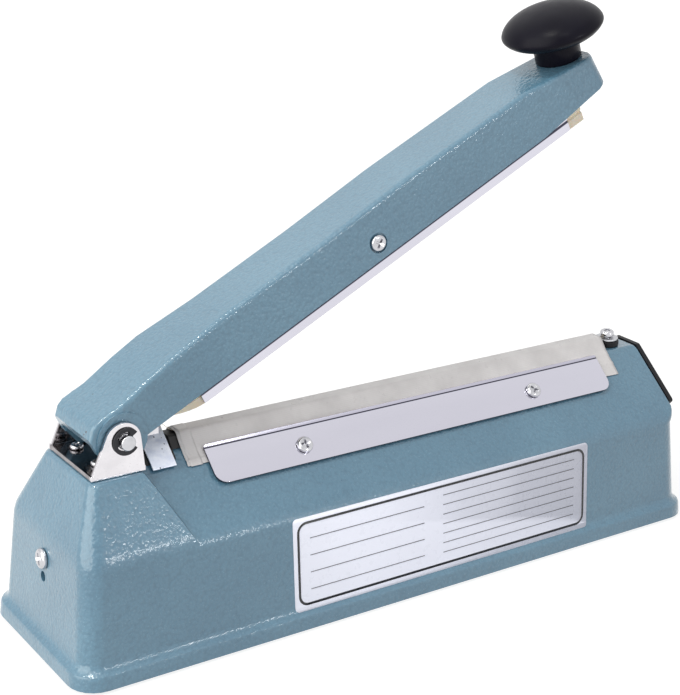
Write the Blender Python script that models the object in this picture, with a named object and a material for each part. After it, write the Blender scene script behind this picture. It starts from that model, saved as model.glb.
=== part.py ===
"""Hand impulse bag sealer with a cast base, a hinged cast arm and a mushroom knob.

Metres, +Z up, X along the base with the hinge at -X, front wall facing -Y.
The origin is on the table, below the middle of the base. The arm stands open.
"""

from math import acos, asin, atan2, cos, hypot, pi, radians, sin, sqrt, tan

import bmesh
import bpy
from mathutils import Matrix, Vector

# Gaps and tool overruns
GAP = 0.0003
OVERRUN = 0.002

# Base casting
BASE_LENGTH = 0.320
BASE_WIDTH = 0.088
BASE_HEIGHT = 0.0761
FOOT_PROTRUSION = 0.0015
WALL = 0.003
WALL_DRAFT = radians(4.4)
WALL_CORNER = 0.009
KNEE_HEIGHT = 0.0494
KNEE_BLEND = 0.0035
LIP_OVERHANG = 0.0030
LIP_HEIGHT = 0.0098
LIP_CORNER = 0.013
TOP_EDGE_RADIUS = 0.0022
SMALL_CORNER = 0.0012

# Sealing ridge and hinge pad on top of the casting
RIDGE_WIDTH = 0.0144
PAD_WIDTH = 0.0434
PAD_START = 0.0172
PAD_END = 0.0400
PAD_ROOT_END = 0.0548
PAD_CORNER = 0.004

# Bottom plate, feet and their screws
PLATE_RIM = 0.0034
PLATE_THICKNESS = 0.0012
PLATE_RECESS = 0.0012
VENT_LENGTH = 0.030
VENT_WIDTH = 0.003
VENT_PITCH = 0.008
VENT_COUNT = 5
VENT_CLEARANCE = 0.0407
FOOT_RADIUS = 0.0075
FOOT_INSET = 0.0125
FOOT_SEAT_DEPTH = 0.0012
POST_HEIGHT = 0.017
FOOT_SCREW_RADIUS = 0.0015
FOOT_SCREW_LENGTH = 0.011
FOOT_SCREW_HEAD_RADIUS = 0.003
FOOT_SCREW_HEAD_HEIGHT = 0.0012

# Hinge bracket, pin and retaining rings
BRACKET_START = 0.0185
BRACKET_LENGTH = 0.0233
BRACKET_WIDTH = 0.0390
BRACKET_SHEET = 0.0020
BRACKET_SCREW_RADIUS = 0.0020
BRACKET_SCREW_HEAD_RADIUS = 0.0028
BRACKET_SCREW_HEAD_HEIGHT = 0.0016
BRACKET_SCREW_LENGTH = 0.0060
BRACKET_SCREW_SPACING = 0.0192
BRACKET_SCREW_PLACE = 0.0076
PIVOT_X = 0.0335
PIVOT_RISE = 0.0142
EAR_RADIUS = 0.0076
EAR_SHIFT = 0.0009
PIN_RADIUS = 0.0031
PIN_END = 0.0030
RING_GROOVE = 0.0008
RING_GROOVE_DEPTH = 0.0009
RING_OUTER = 0.0057
RING_BAND_INNER = 0.0040
RING_MOUTH = radians(70)

# Arm casting
OPEN_ANGLE = radians(26.6)
CLOSED_ANGLE = radians(4.5)
ARM_WIDTH = 0.0330
ARM_WALL = 0.0034
ARM_BOTTOM = 0.0055
ARM_TOP = 0.0173
ARM_TAIL = 0.0115
ARM_TIP_INSET = 0.0200
ARM_EDGE_RADIUS = 0.0022
ARM_LEAN = 0.0025
ARM_LEAN_START = 0.0300
ARM_LEAN_END = 0.0600
ARM_NOSE_LENGTH = 0.0270
ARM_TIP_RADIUS = 0.0060
LOBE_CLEARANCE = 0.0008
BOSS_PROUD = 0.0006
STOP_ANGLE = radians(22)
FINGER_START = 0.0070
FINGER_END = 0.0150
FINGER_WIDTH = 0.0080
FINGER_BOTTOM = 0.0045
KNOB_SEAT_LENGTH = 0.0405
KNOB_SEAT_TILT = radians(7.5)

# Knob
KNOB_INSET = 0.0101
KNOB_RADIUS = 0.0225
KNOB_HEIGHT = 0.0251
KNOB_RIM_HEIGHT = 0.0122
KNOB_RIM_THICKNESS = 0.0010
KNOB_CROWN_START = radians(18)
STEM_RADIUS = 0.0102
STEM_HEIGHT = 0.0075
STEM_FLARE = 0.0012
KNOB_SCREW_RADIUS = 0.0025
KNOB_SCREW_LENGTH = 0.0150
KNOB_SCREW_HEAD_RADIUS = 0.0045
KNOB_SCREW_HEAD_HEIGHT = 0.0025

# Press bar: holder, silicone and pivot screw
PRESS_PIVOT_INSET = 0.1330
PRESS_PIVOT_HEIGHT = 0.0015
HOLDER_START = 0.0390
HOLDER_INSET = 0.0200
HOLDER_WIDTH = 0.0120
HOLDER_SHEET = 0.0012
HOLDER_DEPTH = 0.0075
LUG_LENGTH = 0.0160
LUG_CROWN = 0.0052
SILICONE_PROUD = 0.0014
SILICONE_BEFORE = 0.0130
SILICONE_AFTER = 0.0095
SILICONE_GROOVE = 0.0016
PRESS_SCREW_RADIUS = 0.0020
PRESS_SCREW_HEAD_RADIUS = 0.0036
PRESS_SCREW_HEAD_HEIGHT = 0.0018
PRESS_SCREW_SEAT_RADIUS = 0.0043
PRESS_SCREW_SEAT_DEPTH = 0.0010
PRESS_NUT_SEAT_RADIUS = 0.0052
PRESS_NUT_RADIUS = 0.0040
PRESS_NUT_HEIGHT = 0.0032

# Sealing platform, ribbon and cloth
PLATFORM_START = 0.0600
PLATFORM_INSET = 0.0283
PLATFORM_RISE = 0.0046
PLATFORM_WIDTH = 0.0138
PLATFORM_TOP_WIDTH = 0.0068
PLATFORM_EDGE_RADIUS = 0.0014
RIBBON_WIDTH = 0.0022
RIBBON_THICKNESS = 0.0003
CLOTH_START = 0.0635
CLOTH_INSET = 0.0280
CLOTH_THICKNESS = 0.0004
CLOTH_LEFT_REACH = 0.0086
CLOTH_RIGHT_REACH = 0.0130

# Clamp plates on the slopes
CLAMP_START = 0.0725
CLAMP_INSET = 0.0370
CLAMP_SHEET = 0.0009
CLAMP_TOP_DROP = 0.0016
CLAMP_WIDTH = 0.0180
CLAMP_CORNER = 0.0050
CLAMP_LIP_WIDTH = 0.0012
CLAMP_LIP_RISE = 0.0006
CLAMP_SCREW_INSET = 0.04375
CLAMP_SCREW_DROP = 0.0118
CLAMP_SCREW_RADIUS = 0.0016
CLAMP_SCREW_LENGTH = 0.0050
CLAMP_SCREW_HEAD_RADIUS = 0.0036
CLAMP_SCREW_HEAD_HEIGHT = 0.0018

# Bridge beside the hinge, its insulating pad and the ribbon's anchor
BRIDGE_START = 0.0478
BRIDGE_WIDTH = 0.0106
BRIDGE_SHEET = 0.0009
BRIDGE_REACH = 0.0135
PAD_SHEET_START = 0.0464
PAD_SHEET_THICKNESS = 0.0006
PAD_SHEET_REACH = 0.0105
ANCHOR_LENGTH = 0.0062
ANCHOR_WIDTH = 0.0064
ANCHOR_HEIGHT = 0.0026

# Right terminal of the ribbon
TERMINAL_INSET = 0.0212
BUSH_RADIUS = 0.0058
BUSH_HEIGHT = 0.0026
WASHER_RADIUS = 0.0054
WASHER_THICKNESS = 0.0008
TERMINAL_SCREW_RADIUS = 0.0018
TERMINAL_SCREW_LENGTH = 0.0060
TERMINAL_SCREW_HEAD_RADIUS = 0.0034
TERMINAL_SCREW_HEAD_HEIGHT = 0.0026
TERMINAL_NUT_RADIUS = 0.0034
TERMINAL_NUT_HEIGHT = 0.0022

# Screw and small hole in the left end wall
END_SCREW_HEIGHT = 0.0392
END_SCREW_RADIUS = 0.0020
END_SCREW_LENGTH = 0.0090
END_SCREW_HEAD_RADIUS = 0.0042
END_SCREW_HEAD_HEIGHT = 0.0020
END_HOLE_DROP = 0.0078
END_HOLE_RADIUS = 0.0022

# Control panel with timer knob, lamp and inlet gland
PANEL_THICKNESS = 0.0022
PANEL_WIDTH = 0.0630
PANEL_LOW_WIDTH = 0.0510
PANEL_WAIST = 0.0480
PANEL_BOTTOM = 0.0105
PANEL_WINDOW_RIM = 0.0050
PANEL_SIDE_RIM = 0.0070
PANEL_SCREW_RADIUS = 0.0014
PANEL_SCREW_HEAD_RADIUS = 0.0028
PANEL_SCREW_HEAD_HEIGHT = 0.0014
PANEL_SCREW_INSET = 0.0036
PANEL_SCREW_HEIGHT = 0.0300
TIMER_HEIGHT = 0.0440
TIMER_KNOB_RADIUS = 0.0094
TIMER_KNOB_HEIGHT = 0.0130
TIMER_SKIRT_RADIUS = 0.0110
TIMER_SKIRT_HEIGHT = 0.0025
TIMER_FLUTES = 12
TIMER_FLUTE_DEPTH = 0.0007
BUSHING_RADIUS = 0.0045
BUSHING_LENGTH = 0.0024
SPINDLE_NUT_RADIUS = 0.0068
SPINDLE_NUT_HEIGHT = 0.0020
POT_RADIUS = 0.0085
POT_DEPTH = 0.0090
LAMP_RADIUS = 0.0032
LAMP_FLANGE_RADIUS = 0.0044
LAMP_FLANGE_THICKNESS = 0.0012
LAMP_DOME = 0.0028
LAMP_BODY_LENGTH = 0.0090
GLAND_BORE_RADIUS = 0.0034
GLAND_RADIUS = 0.0047
GLAND_FLANGE_RADIUS = 0.0060
GLAND_FLANGE_THICKNESS = 0.0018
GLAND_NOSE = 0.0050
GLAND_TAIL = 0.0030
BOARD_WIDTH = 0.0340
BOARD_DEPTH = 0.0280
BOARD_TOP_RISE = 0.0100
BOARD_THICKNESS = 0.0016
BOARD_PART_HEIGHT = 0.0080

# Transformer on the bottom plate
CORE_LENGTH = 0.0660
CORE_DEPTH = 0.0340
CORE_HEIGHT = 0.0550
CORE_LEG = 0.0110
WINDING_OVERHANG = 0.0100
FRAME_SHEET = 0.0010
FRAME_TAB = 0.0100
FRAME_SCREW_RADIUS = 0.0016
FRAME_SCREW_HEAD_RADIUS = 0.0030
FRAME_SCREW_HEAD_HEIGHT = 0.0015

# Switch under the hinge pad
ROD_OFFSET = 0.0104
ROD_RADIUS = 0.0018
ROD_HEAD_RADIUS = 0.0028
SWITCH_SHELF_DROP = 0.0040
SWITCH_SHEET = 0.0012
SWITCH_SHELF_WIDTH = 0.0160
SWITCH_WIDTH = 0.0100
SWITCH_LENGTH = 0.0270
SWITCH_HEIGHT = 0.0155
LEVER_LENGTH = 0.0240
LEVER_REACH = 0.0210
LEVER_SHEET = 0.0006
LEVER_WIDTH = 0.0060
LEVER_REST_ANGLE = radians(12)
LEVER_PIN_RADIUS = 0.0008
LEVER_PIN_RISE = 0.0022
LEVER_EYE_RADIUS = 0.0018

# Return spring round the hinge pin
SPRING_WIRE = 0.0014
SPRING_RADIUS = 0.0052
SPRING_TURNS = 4
SPRING_PITCH = 0.0027
SPRING_END = 0.0017
SPRING_ARM_REACH = 0.0180
SPRING_BASE_ANGLE = radians(225)
SPRING_STEPS = 10

# Shares that shape the lip, the knob and the press bar's end
LIP_SHARES = ((0.0, 0.0), (0.0, 0.50), (0.12, 0.60), (0.42, 0.66), (0.75, 0.74), (0.93, 0.86), (1.0, 1.0))
BOARD_PART_SHARES = ((-0.66, 0.20), (-0.05, 0.26), (0.58, 0.24))
KNOB_UNDERSIDE_SHARES = (0.80, 0.62)
ARM_NOSE_RISE_SHARE = 0.90
ARM_NOSE_CURVE_SHARE = 1.5
ARM_ALONG_SHARES = (0.0, 0.0104, 0.0209, 0.0594, 0.1133, 0.160, 0.257, 0.437, 0.599)
ARM_RISE_SHARES = (0.44, 0.62, 0.69, 0.69, 0.815, 0.89, 0.908, 0.925, 1.0)
ARM_SEAT_RISE_SHARE = 0.977
SILICONE_TAPER_SHARE = 0.45
SILICONE_TAPER_RISE_SHARE = 0.72
STEP_LEAN_SHARE = 0.10
TIMER_CROWN_SHARE = 0.93
LAMP_BODY_SHARE = 0.80
GLAND_NOSE_SHARE = 0.60
LUG_CORNER_SHARE = 0.80

# Lengths and places that follow from the sizes above
LEFT_END = -BASE_LENGTH / 2
RIGHT_END = BASE_LENGTH / 2
LIP_WIDTH_HALF = BASE_WIDTH / 2
RIDGE_HALF = RIDGE_WIDTH / 2
PAD_HALF = PAD_WIDTH / 2
WALL_SLOPE = tan(WALL_DRAFT)
KNEE_HALF = LIP_WIDTH_HALF - LIP_OVERHANG - KNEE_HEIGHT * WALL_SLOPE
SLOPE_RISE = BASE_HEIGHT - KNEE_HEIGHT
SLOPE_ANGLE = atan2(SLOPE_RISE, KNEE_HALF - RIDGE_HALF)
PAD_SLOPE_ANGLE = atan2(SLOPE_RISE, KNEE_HALF - PAD_HALF)
KNEE_LEFT = LEFT_END + LIP_OVERHANG + KNEE_HEIGHT * WALL_SLOPE
PAD_LEFT = LEFT_END + PAD_START
END_SLOPE_ANGLE = atan2(SLOPE_RISE, PAD_LEFT - KNEE_LEFT)
PAD_RIGHT = LEFT_END + PAD_END
ROOT_RIGHT = LEFT_END + PAD_ROOT_END
PIVOT_HEIGHT = BASE_HEIGHT + PIVOT_RISE
PIVOT = Vector((LEFT_END + PIVOT_X, 0, PIVOT_HEIGHT))
CLOSING = OPEN_ANGLE - CLOSED_ANGLE
PLATE_TOP = PLATE_RECESS + PLATE_THICKNESS
LEDGE = PLATE_TOP + GAP
FOOT_X = BASE_LENGTH / 2 - FOOT_INSET
FOOT_Y = BASE_WIDTH / 2 - FOOT_INSET
POST_RADIUS = FOOT_INSET - LIP_OVERHANG - WALL
LOBE_RADIUS = PIVOT_RISE - BRACKET_SHEET - 2 * GAP - LOBE_CLEARANCE
STOP_RADIUS = (LOBE_RADIUS + LOBE_CLEARANCE) / cos(STOP_ANGLE)
ARM_TIP = BASE_LENGTH - PIVOT_X - ARM_TIP_INSET
ARM_SPAN = ARM_TAIL + ARM_TIP
KNOB_SEAT_START = ARM_TIP - KNOB_SEAT_LENGTH
KNOB_ALONG = ARM_TIP - KNOB_INSET
PRESS_PIVOT_ALONG = ARM_TIP - PRESS_PIVOT_INSET
HOLDER_END = ARM_TIP - HOLDER_INSET
PLATFORM_END = BASE_LENGTH - PLATFORM_INSET
CLOTH_END = BASE_LENGTH - CLOTH_INSET
CLAMP_LENGTH = BASE_LENGTH - CLAMP_INSET - CLAMP_START
CLAMP_SCREW_SPACING = CLAMP_LENGTH - 2 * CLAMP_SCREW_INSET
CLAMP_LIFT = 2 * GAP + CLOTH_THICKNESS
BRIDGE_LIFT = 2 * GAP + PAD_SHEET_THICKNESS
TERMINAL_X = BASE_LENGTH - TERMINAL_INSET
WINDOW_TOP = BASE_HEIGHT - WALL - GAP
WINDOW_BOTTOM = PANEL_BOTTOM + PANEL_WINDOW_RIM
LAMP_HEIGHT = (TIMER_HEIGHT + TIMER_SKIRT_RADIUS + WINDOW_TOP) / 2
GLAND_HEIGHT = (TIMER_HEIGHT - TIMER_SKIRT_RADIUS + WINDOW_BOTTOM) / 2
CORE_X = BASE_LENGTH / 2
FRAME_SCREW_REACH = CORE_LENGTH / 2 + FRAME_SHEET + GAP + FRAME_TAB / 2
VENT_PLACE = FRAME_SCREW_REACH + VENT_CLEARANCE + VENT_LENGTH / 2
SEALING_TOP = BASE_HEIGHT + PLATFORM_RISE + GAP
CLOTH_TOP = SEALING_TOP + RIBBON_THICKNESS + 2 * GAP + CLOTH_THICKNESS
PRESS_PIVOT_CLOSED = PRESS_PIVOT_ALONG * sin(CLOSED_ANGLE) + PRESS_PIVOT_HEIGHT * cos(CLOSED_ANGLE)
SILICONE_LOW = CLOTH_TOP + GAP - PIVOT_HEIGHT - PRESS_PIVOT_CLOSED
HOLDER_LOW = SILICONE_LOW + SILICONE_PROUD


# Angle below which faces join smoothly, and words for the places of repeated pieces
SMOOTH_ANGLE = radians(32)
CORNERS = ("left_front", "left_rear", "right_front", "right_rear")
SIDES = ("front", "rear")
ENDS = ("left", "right")


# Frames and mesh helpers

def frame_at(origin, z_axis=(0, 0, 1), x_axis=(1, 0, 0)):
    """Matrix of a frame at origin with the given z axis and, nearly, x axis."""
    z = Vector(z_axis).normalized()
    y = z.cross(Vector(x_axis)).normalized()
    x = y.cross(z)
    matrix = Matrix((x, y, z)).transposed().to_4x4()
    matrix.translation = Vector(origin)
    return matrix


def add_frame(name, matrix, parent=None):
    """Empty that carries the pieces of one frame."""
    empty = bpy.data.objects.new(name, None)
    bpy.context.scene.collection.objects.link(empty)
    empty.parent = parent
    empty.matrix_local = matrix
    return empty


FINISHES = {
    "hammered paint": ((0.22, 0.37, 0.46, 1), 0.38, 0.1),
    "chrome": ((0.80, 0.80, 0.82, 1), 0.12, 1.0),
    "zinc": ((0.62, 0.68, 0.76, 1), 0.35, 1.0),
    "polished steel": ((0.72, 0.72, 0.74, 1), 0.15, 1.0),
    "steel": ((0.50, 0.50, 0.52, 1), 0.35, 1.0),
    "black ring": ((0.03, 0.03, 0.03, 1), 0.35, 0.8),
    "black plastic": ((0.02, 0.02, 0.022, 1), 0.40, 0.0),
    "knob plastic": ((0.025, 0.025, 0.03, 1), 0.30, 0.0),
    "silicone": ((0.72, 0.66, 0.52, 1), 0.60, 0.0),
    "cloth": ((0.72, 0.71, 0.68, 1), 0.45, 0.0),
    "rubber": ((0.03, 0.03, 0.03, 1), 0.75, 0.0),
    "ribbon": ((0.45, 0.42, 0.38, 1), 0.30, 1.0),
    "red lens": ((0.75, 0.03, 0.02, 1), 0.15, 0.0),
    "board": ((0.05, 0.25, 0.10, 1), 0.45, 0.0),
    "copper": ((0.70, 0.33, 0.14, 1), 0.35, 1.0),
    "laminations": ((0.22, 0.22, 0.24, 1), 0.50, 1.0),
    "aluminium": ((0.78, 0.78, 0.79, 1), 0.30, 1.0),
}


def material_for(name, finish):
    """Material of one piece, in one of the finishes."""
    colour, roughness, metallic = FINISHES[finish]
    material = bpy.data.materials.new(name)
    material.use_nodes = True
    shader = material.node_tree.nodes["Principled BSDF"]
    shader.inputs["Base Color"].default_value = colour
    shader.inputs["Roughness"].default_value = roughness
    shader.inputs["Metallic"].default_value = metallic
    material.diffuse_color = colour
    return material


def link_mesh(name, bm, parent):
    """Object made from a bmesh, with its faces turned outwards."""
    bmesh.ops.recalc_face_normals(bm, faces=bm.faces)
    mesh = bpy.data.meshes.new(name)
    bm.to_mesh(mesh)
    bm.free()
    obj = bpy.data.objects.new(name, mesh)
    bpy.context.scene.collection.objects.link(obj)
    obj.parent = parent
    return obj


def piece(name, bm, finish, parent):
    """Finished piece of the sealer, smooth on its round faces."""
    obj = link_mesh(name, bm, parent)
    obj.data.materials.append(material_for(name, finish))
    obj.data.shade_smooth()
    obj.data.set_sharp_from_angle(angle=SMOOTH_ANGLE)
    return obj


def copies(names, bm, finish, parent, places):
    """Fasteners or feet of one kind, each an object of its own at its place."""
    first = piece(names[0], bm, finish, parent)
    first.matrix_local = places[0]
    for name, place in zip(names[1:], places[1:]):
        obj = bpy.data.objects.new(name, first.data)
        bpy.context.scene.collection.objects.link(obj)
        obj.parent = parent
        obj.matrix_local = place


def tool(name, bm, parent):
    """Hidden solid that a Boolean cuts with or adds."""
    obj = link_mesh(name, bm, parent)
    obj.hide_render = True
    obj.display_type = "WIRE"
    return obj


def combine(obj, tool_object, operation="DIFFERENCE"):
    """Boolean of a piece with a hidden tool."""
    modifier = obj.modifiers.new(tool_object.name, "BOOLEAN")
    modifier.operation = operation
    modifier.object = tool_object
    modifier.solver = "EXACT"


def add_loft(bm, loops):
    """Closed solid through loops of as many points each."""
    rings = [[bm.verts.new(point) for point in loop] for loop in loops]
    count = len(rings[0])
    for low, high in zip(rings, rings[1:]):
        for i in range(count):
            j = (i + 1) % count
            bm.faces.new((low[i], low[j], high[j], high[i]))
    bm.faces.new(list(reversed(rings[0])))
    bm.faces.new(rings[-1])


def add_prism(bm, outline, low, high, place=Matrix()):
    """Straight solid over an outline in the frame's XY plane."""
    loops = [[place @ Vector((u, v, w)) for u, v in outline] for w in (low, high)]
    add_loft(bm, loops)


def add_turned(bm, profile, place=Matrix(), segments=24):
    """Solid turned round the frame's Z axis from (radius, height) points."""
    rings = []
    for radius, height in profile:
        if radius == 0:
            rings.append([bm.verts.new(place @ Vector((0, 0, height)))])
            continue
        angles = [2 * pi * i / segments for i in range(segments)]
        rings.append([bm.verts.new(place @ Vector((radius * cos(a), radius * sin(a), height))) for a in angles])
    pairs = list(zip(rings, rings[1:]))
    if len(rings[0]) > 1:
        pairs.append((rings[-1], rings[0]))
    for first, second in pairs:
        for i in range(segments):
            j = (i + 1) % segments
            corners = [first[i % len(first)], first[j % len(first)]]
            corners += [second[j % len(second)], second[i % len(second)]]
            bm.faces.new(list(dict.fromkeys(corners)))


def add_cylinder(bm, radius, low, high, place=Matrix(), segments=20):
    """Plain cylinder along the frame's Z axis."""
    add_turned(bm, [(0, low), (radius, low), (radius, high), (0, high)], place, segments)


def add_ring(bm, inner, outer, low, high, place=Matrix(), segments=24):
    """Plain ring round the frame's Z axis."""
    add_turned(bm, [(inner, low), (outer, low), (outer, high), (inner, high)], place, segments)


def rounded(corners, steps=4):
    """Outline through corners given as (u, v, radius), with round corners as arcs."""
    outline = []
    count = len(corners)
    for i, (u, v, radius) in enumerate(corners):
        here = Vector((u, v))
        before = (Vector(corners[i - 1][:2]) - here).normalized()
        after = (Vector(corners[(i + 1) % count][:2]) - here).normalized()
        half = acos(max(-1, min(1, before.dot(after)))) / 2
        if radius == 0 or half < radians(1):
            outline.append(here)
            continue
        centre = here + (before + after).normalized() * radius / sin(half)
        start = here + before * radius / tan(half) - centre
        turn = start.angle_signed(here + after * radius / tan(half) - centre)
        for step in range(steps + 1):
            spun = start.copy()
            spun.rotate(Matrix.Rotation(-turn * step / steps, 2))
            outline.append(centre + spun)
    return outline


def box_outline(u_low, v_low, u_high, v_high, radius=0.0, steps=4):
    """Rectangle with round corners."""
    corners = [(u_low, v_low, radius), (u_high, v_low, radius), (u_high, v_high, radius), (u_low, v_high, radius)]
    return rounded(corners, steps)


def add_screw(bm, place, shank, length, head, height, segments=16):
    """Pan head screw whose head sits on the frame's XY plane."""
    profile = [(0, -length), (shank, -length), (shank, 0), (head, 0), (head, height / 2)]
    profile += [(head * cos(pi / 8), height * cos(pi / 5)), (head * cos(pi / 4), height), (0, height)]
    add_turned(bm, profile, place, segments)


def add_hexagon(bm, radius, low, high, place=Matrix(), bore=0.0):
    """Hexagon nut, with a bore where one is given."""
    outline = [(radius * cos(pi * i / 3), radius * sin(pi * i / 3)) for i in range(6)]
    if bore == 0:
        add_prism(bm, outline, low, high, place)
        return
    steps = 24
    inner = [(bore * cos(2 * pi * i / steps), bore * sin(2 * pi * i / steps)) for i in range(steps)]
    outer = []
    for i in range(steps):
        side, share = divmod(6 * i / steps, 1)
        first = Vector(outline[int(side) % 6])
        outer.append(first.lerp(Vector(outline[(int(side) + 1) % 6]), share))
    rings = []
    for line, w in ((inner, low), (outer, low), (outer, high), (inner, high)):
        rings.append([bm.verts.new(place @ Vector((u, v, w))) for u, v in line])
    for first, second in zip(rings, rings[1:] + rings[:1]):
        for i in range(steps):
            j = (i + 1) % steps
            bm.faces.new((first[i], first[j], second[j], second[i]))


# Shape of the base casting, level by level

def blended(z, low_value, low_rate, high_rate):
    """Line that changes its rate at the knee, rounded off over the blend height."""
    offset = z - KNEE_HEIGHT
    if offset <= -KNEE_BLEND:
        return low_value + low_rate * offset
    if offset >= KNEE_BLEND:
        return low_value + high_rate * offset
    bend = (high_rate - low_rate) / (4 * KNEE_BLEND) * (offset + KNEE_BLEND) ** 2
    return low_value + low_rate * offset + bend


def top_rounding(drop, angle):
    """How much an edge that the angle makes with the top is drawn in near the top."""
    if drop >= TOP_EDGE_RADIUS * (1 - cos(angle)):
        return 0
    arc = sqrt(max(0, 2 * TOP_EDGE_RADIUS * drop - drop * drop)) - TOP_EDGE_RADIUS * tan(angle / 2)
    return drop / tan(angle) - arc


def lip_outset(z):
    """How far the lip stands out of the wall's line at a height."""
    for (low_share, low), (high_share, high) in zip(LIP_SHARES, LIP_SHARES[1:]):
        if z <= high * LIP_HEIGHT:
            share = (z - low * LIP_HEIGHT) / ((high - low) * LIP_HEIGHT)
            return LIP_OVERHANG * (1 - low_share - (high_share - low_share) * share)
    return 0


def casting_level(z, shell=0.0, segments=6):
    """Outline of the casting at height z above the lip's underside, drawn in by the shell."""
    level = z + shell
    drop = BASE_HEIGHT - level
    lip = lip_outset(z) if shell == 0 else 0
    climb = max(0, min(1, (level - KNEE_HEIGHT) / SLOPE_RISE))
    sharpen = max(0, min(1, (level - KNEE_HEIGHT + KNEE_BLEND) / (2 * KNEE_BLEND)))
    lean_in = shell * (1 - sharpen) + shell * tan(SLOPE_ANGLE / 2) * sharpen
    slope_rate = -1 / tan(SLOPE_ANGLE)
    pad_rate = -1 / tan(PAD_SLOPE_ANGLE)
    end_rate = 1 / tan(END_SLOPE_ANGLE)
    ridge = blended(level, KNEE_HALF, -WALL_SLOPE, slope_rate) - top_rounding(drop, SLOPE_ANGLE) + lip - lean_in
    pad = blended(level, KNEE_HALF, -WALL_SLOPE, pad_rate) - top_rounding(drop, PAD_SLOPE_ANGLE) + lip - lean_in
    left = blended(level, KNEE_LEFT, WALL_SLOPE, end_rate) + top_rounding(drop, END_SLOPE_ANGLE) - lip + lean_in
    right = RIGHT_END - LIP_OVERHANG - level * WALL_SLOPE + lip - shell
    right -= top_rounding(drop, pi / 2 - WALL_DRAFT)
    step = ROOT_RIGHT + (PAD_RIGHT - ROOT_RIGHT) * climb - shell
    left_corner = WALL_CORNER + (PAD_CORNER - WALL_CORNER) * climb + lip - shell
    right_corner = WALL_CORNER + (SMALL_CORNER - WALL_CORNER) * sharpen + lip - shell
    left_corner = max(left_corner, SMALL_CORNER)
    right_corner = max(right_corner, SMALL_CORNER)
    half = [(left + left_corner * (1 - cos(a)), left_corner * (1 - sin(a)) - pad)
            for a in (pi / 2 * i / segments for i in range(segments + 1))]
    half += [(step, -pad), (step + SMALL_CORNER + (pad - ridge) * STEP_LEAN_SHARE, -ridge)]
    half += [(right - right_corner * (1 - sin(a)), right_corner * (1 - cos(a)) - ridge)
             for a in (pi / 2 * i / segments for i in range(segments + 1))]
    return half + [(x, -y) for x, y in reversed(half)]


def casting_solid(levels, shell=0.0):
    """Loft of the casting through the levels, in the frame on the lip's underside."""
    bm = bmesh.new()
    loops = [[Vector((x, y, z)) for x, y in casting_level(z, shell)] for z in levels]
    add_loft(bm, loops)
    return bm


def outer_levels():
    """Heights at which the outside of the casting changes shape."""
    levels = [share * LIP_HEIGHT for _, share in LIP_SHARES]
    levels += [KNEE_HEIGHT + KNEE_BLEND * i / 2 for i in range(-2, 3)]
    levels.append((KNEE_HEIGHT + BASE_HEIGHT) / 2)
    levels += [BASE_HEIGHT - TOP_EDGE_RADIUS * (1 - sin(pi / 8 * i)) for i in range(5)]
    return levels


def inner_levels():
    """Heights at which the hollow of the casting changes shape."""
    levels = [LEDGE - OVERRUN]
    levels += [KNEE_HEIGHT + KNEE_BLEND * i - WALL for i in (-1, 0, 1)]
    levels += [BASE_HEIGHT - WALL - TOP_EDGE_RADIUS * (1 - sin(pi / 4 * i)) for i in range(3)]
    return levels


def end_wall_place(height, side):
    """Frame on an end wall: z out of the wall, y up it, x across it."""
    x = side * (RIGHT_END - LIP_OVERHANG - height * WALL_SLOPE)
    normal = (side * cos(WALL_DRAFT), 0, sin(WALL_DRAFT))
    return frame_at((x, 0, height), normal, (0, side, 0))


def slope_place(along, drop, side):
    """Frame on a slope of the ridge: z out of it, y up it, at a drop below its top edge."""
    y = side * (RIDGE_HALF + drop * cos(SLOPE_ANGLE))
    normal = (0, side * sin(SLOPE_ANGLE), cos(SLOPE_ANGLE))
    return frame_at((LEFT_END + along, y, BASE_HEIGHT - drop * sin(SLOPE_ANGLE)), normal, (-side, 0, 0))


def top_place(x):
    """Frame on top of the casting."""
    return frame_at((x, 0, BASE_HEIGHT))


def corner_places():
    """Frames of the four corner screws, looking down, on the lip's underside."""
    return [frame_at((sx * FOOT_X, sy * FOOT_Y, 0), (0, 0, -1)) for sx in (-1, 1) for sy in (-1, 1)]


def clamp_screw_places(side):
    """Frames of the two clamp screws of one slope."""
    middle = CLAMP_START + CLAMP_LENGTH / 2
    return [slope_place(middle + s * CLAMP_SCREW_SPACING / 2, CLAMP_SCREW_DROP, side) for s in (-1, 1)]


def bracket_screw_places():
    """Frames of the two screws that hold the hinge bracket."""
    x = LEFT_END + BRACKET_START + BRACKET_SCREW_PLACE
    y = BRACKET_SCREW_SPACING / 2
    return [frame_at((x, s * y, BASE_HEIGHT)) for s in (-1, 1)]


def panel_shoulder(half, rim=0.0):
    """Top, half width of the crown and height of the shoulder of an outline that follows the casting."""
    stretch = 1 / cos(WALL_DRAFT)
    shoulder = (BASE_HEIGHT - (half - RIDGE_HALF) * tan(SLOPE_ANGLE)) * stretch - rim / cos(SLOPE_ANGLE)
    return BASE_HEIGHT * stretch - rim, RIDGE_HALF - rim * tan(SLOPE_ANGLE / 2), shoulder


def panel_outline():
    """Outline of the panel across and up the right end wall, narrower below its shoulders."""
    wide = PANEL_WIDTH / 2
    low = PANEL_LOW_WIDTH / 2
    top, crown, shoulder = panel_shoulder(wide)
    half = [(low, PANEL_BOTTOM, SMALL_CORNER), (low, PANEL_WAIST, SMALL_CORNER)]
    half += [(wide, shoulder, SMALL_CORNER), (crown, top, SMALL_CORNER)]
    return rounded([(-u, v, corner) for u, v, corner in reversed(half)] + half, 2)


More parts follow.
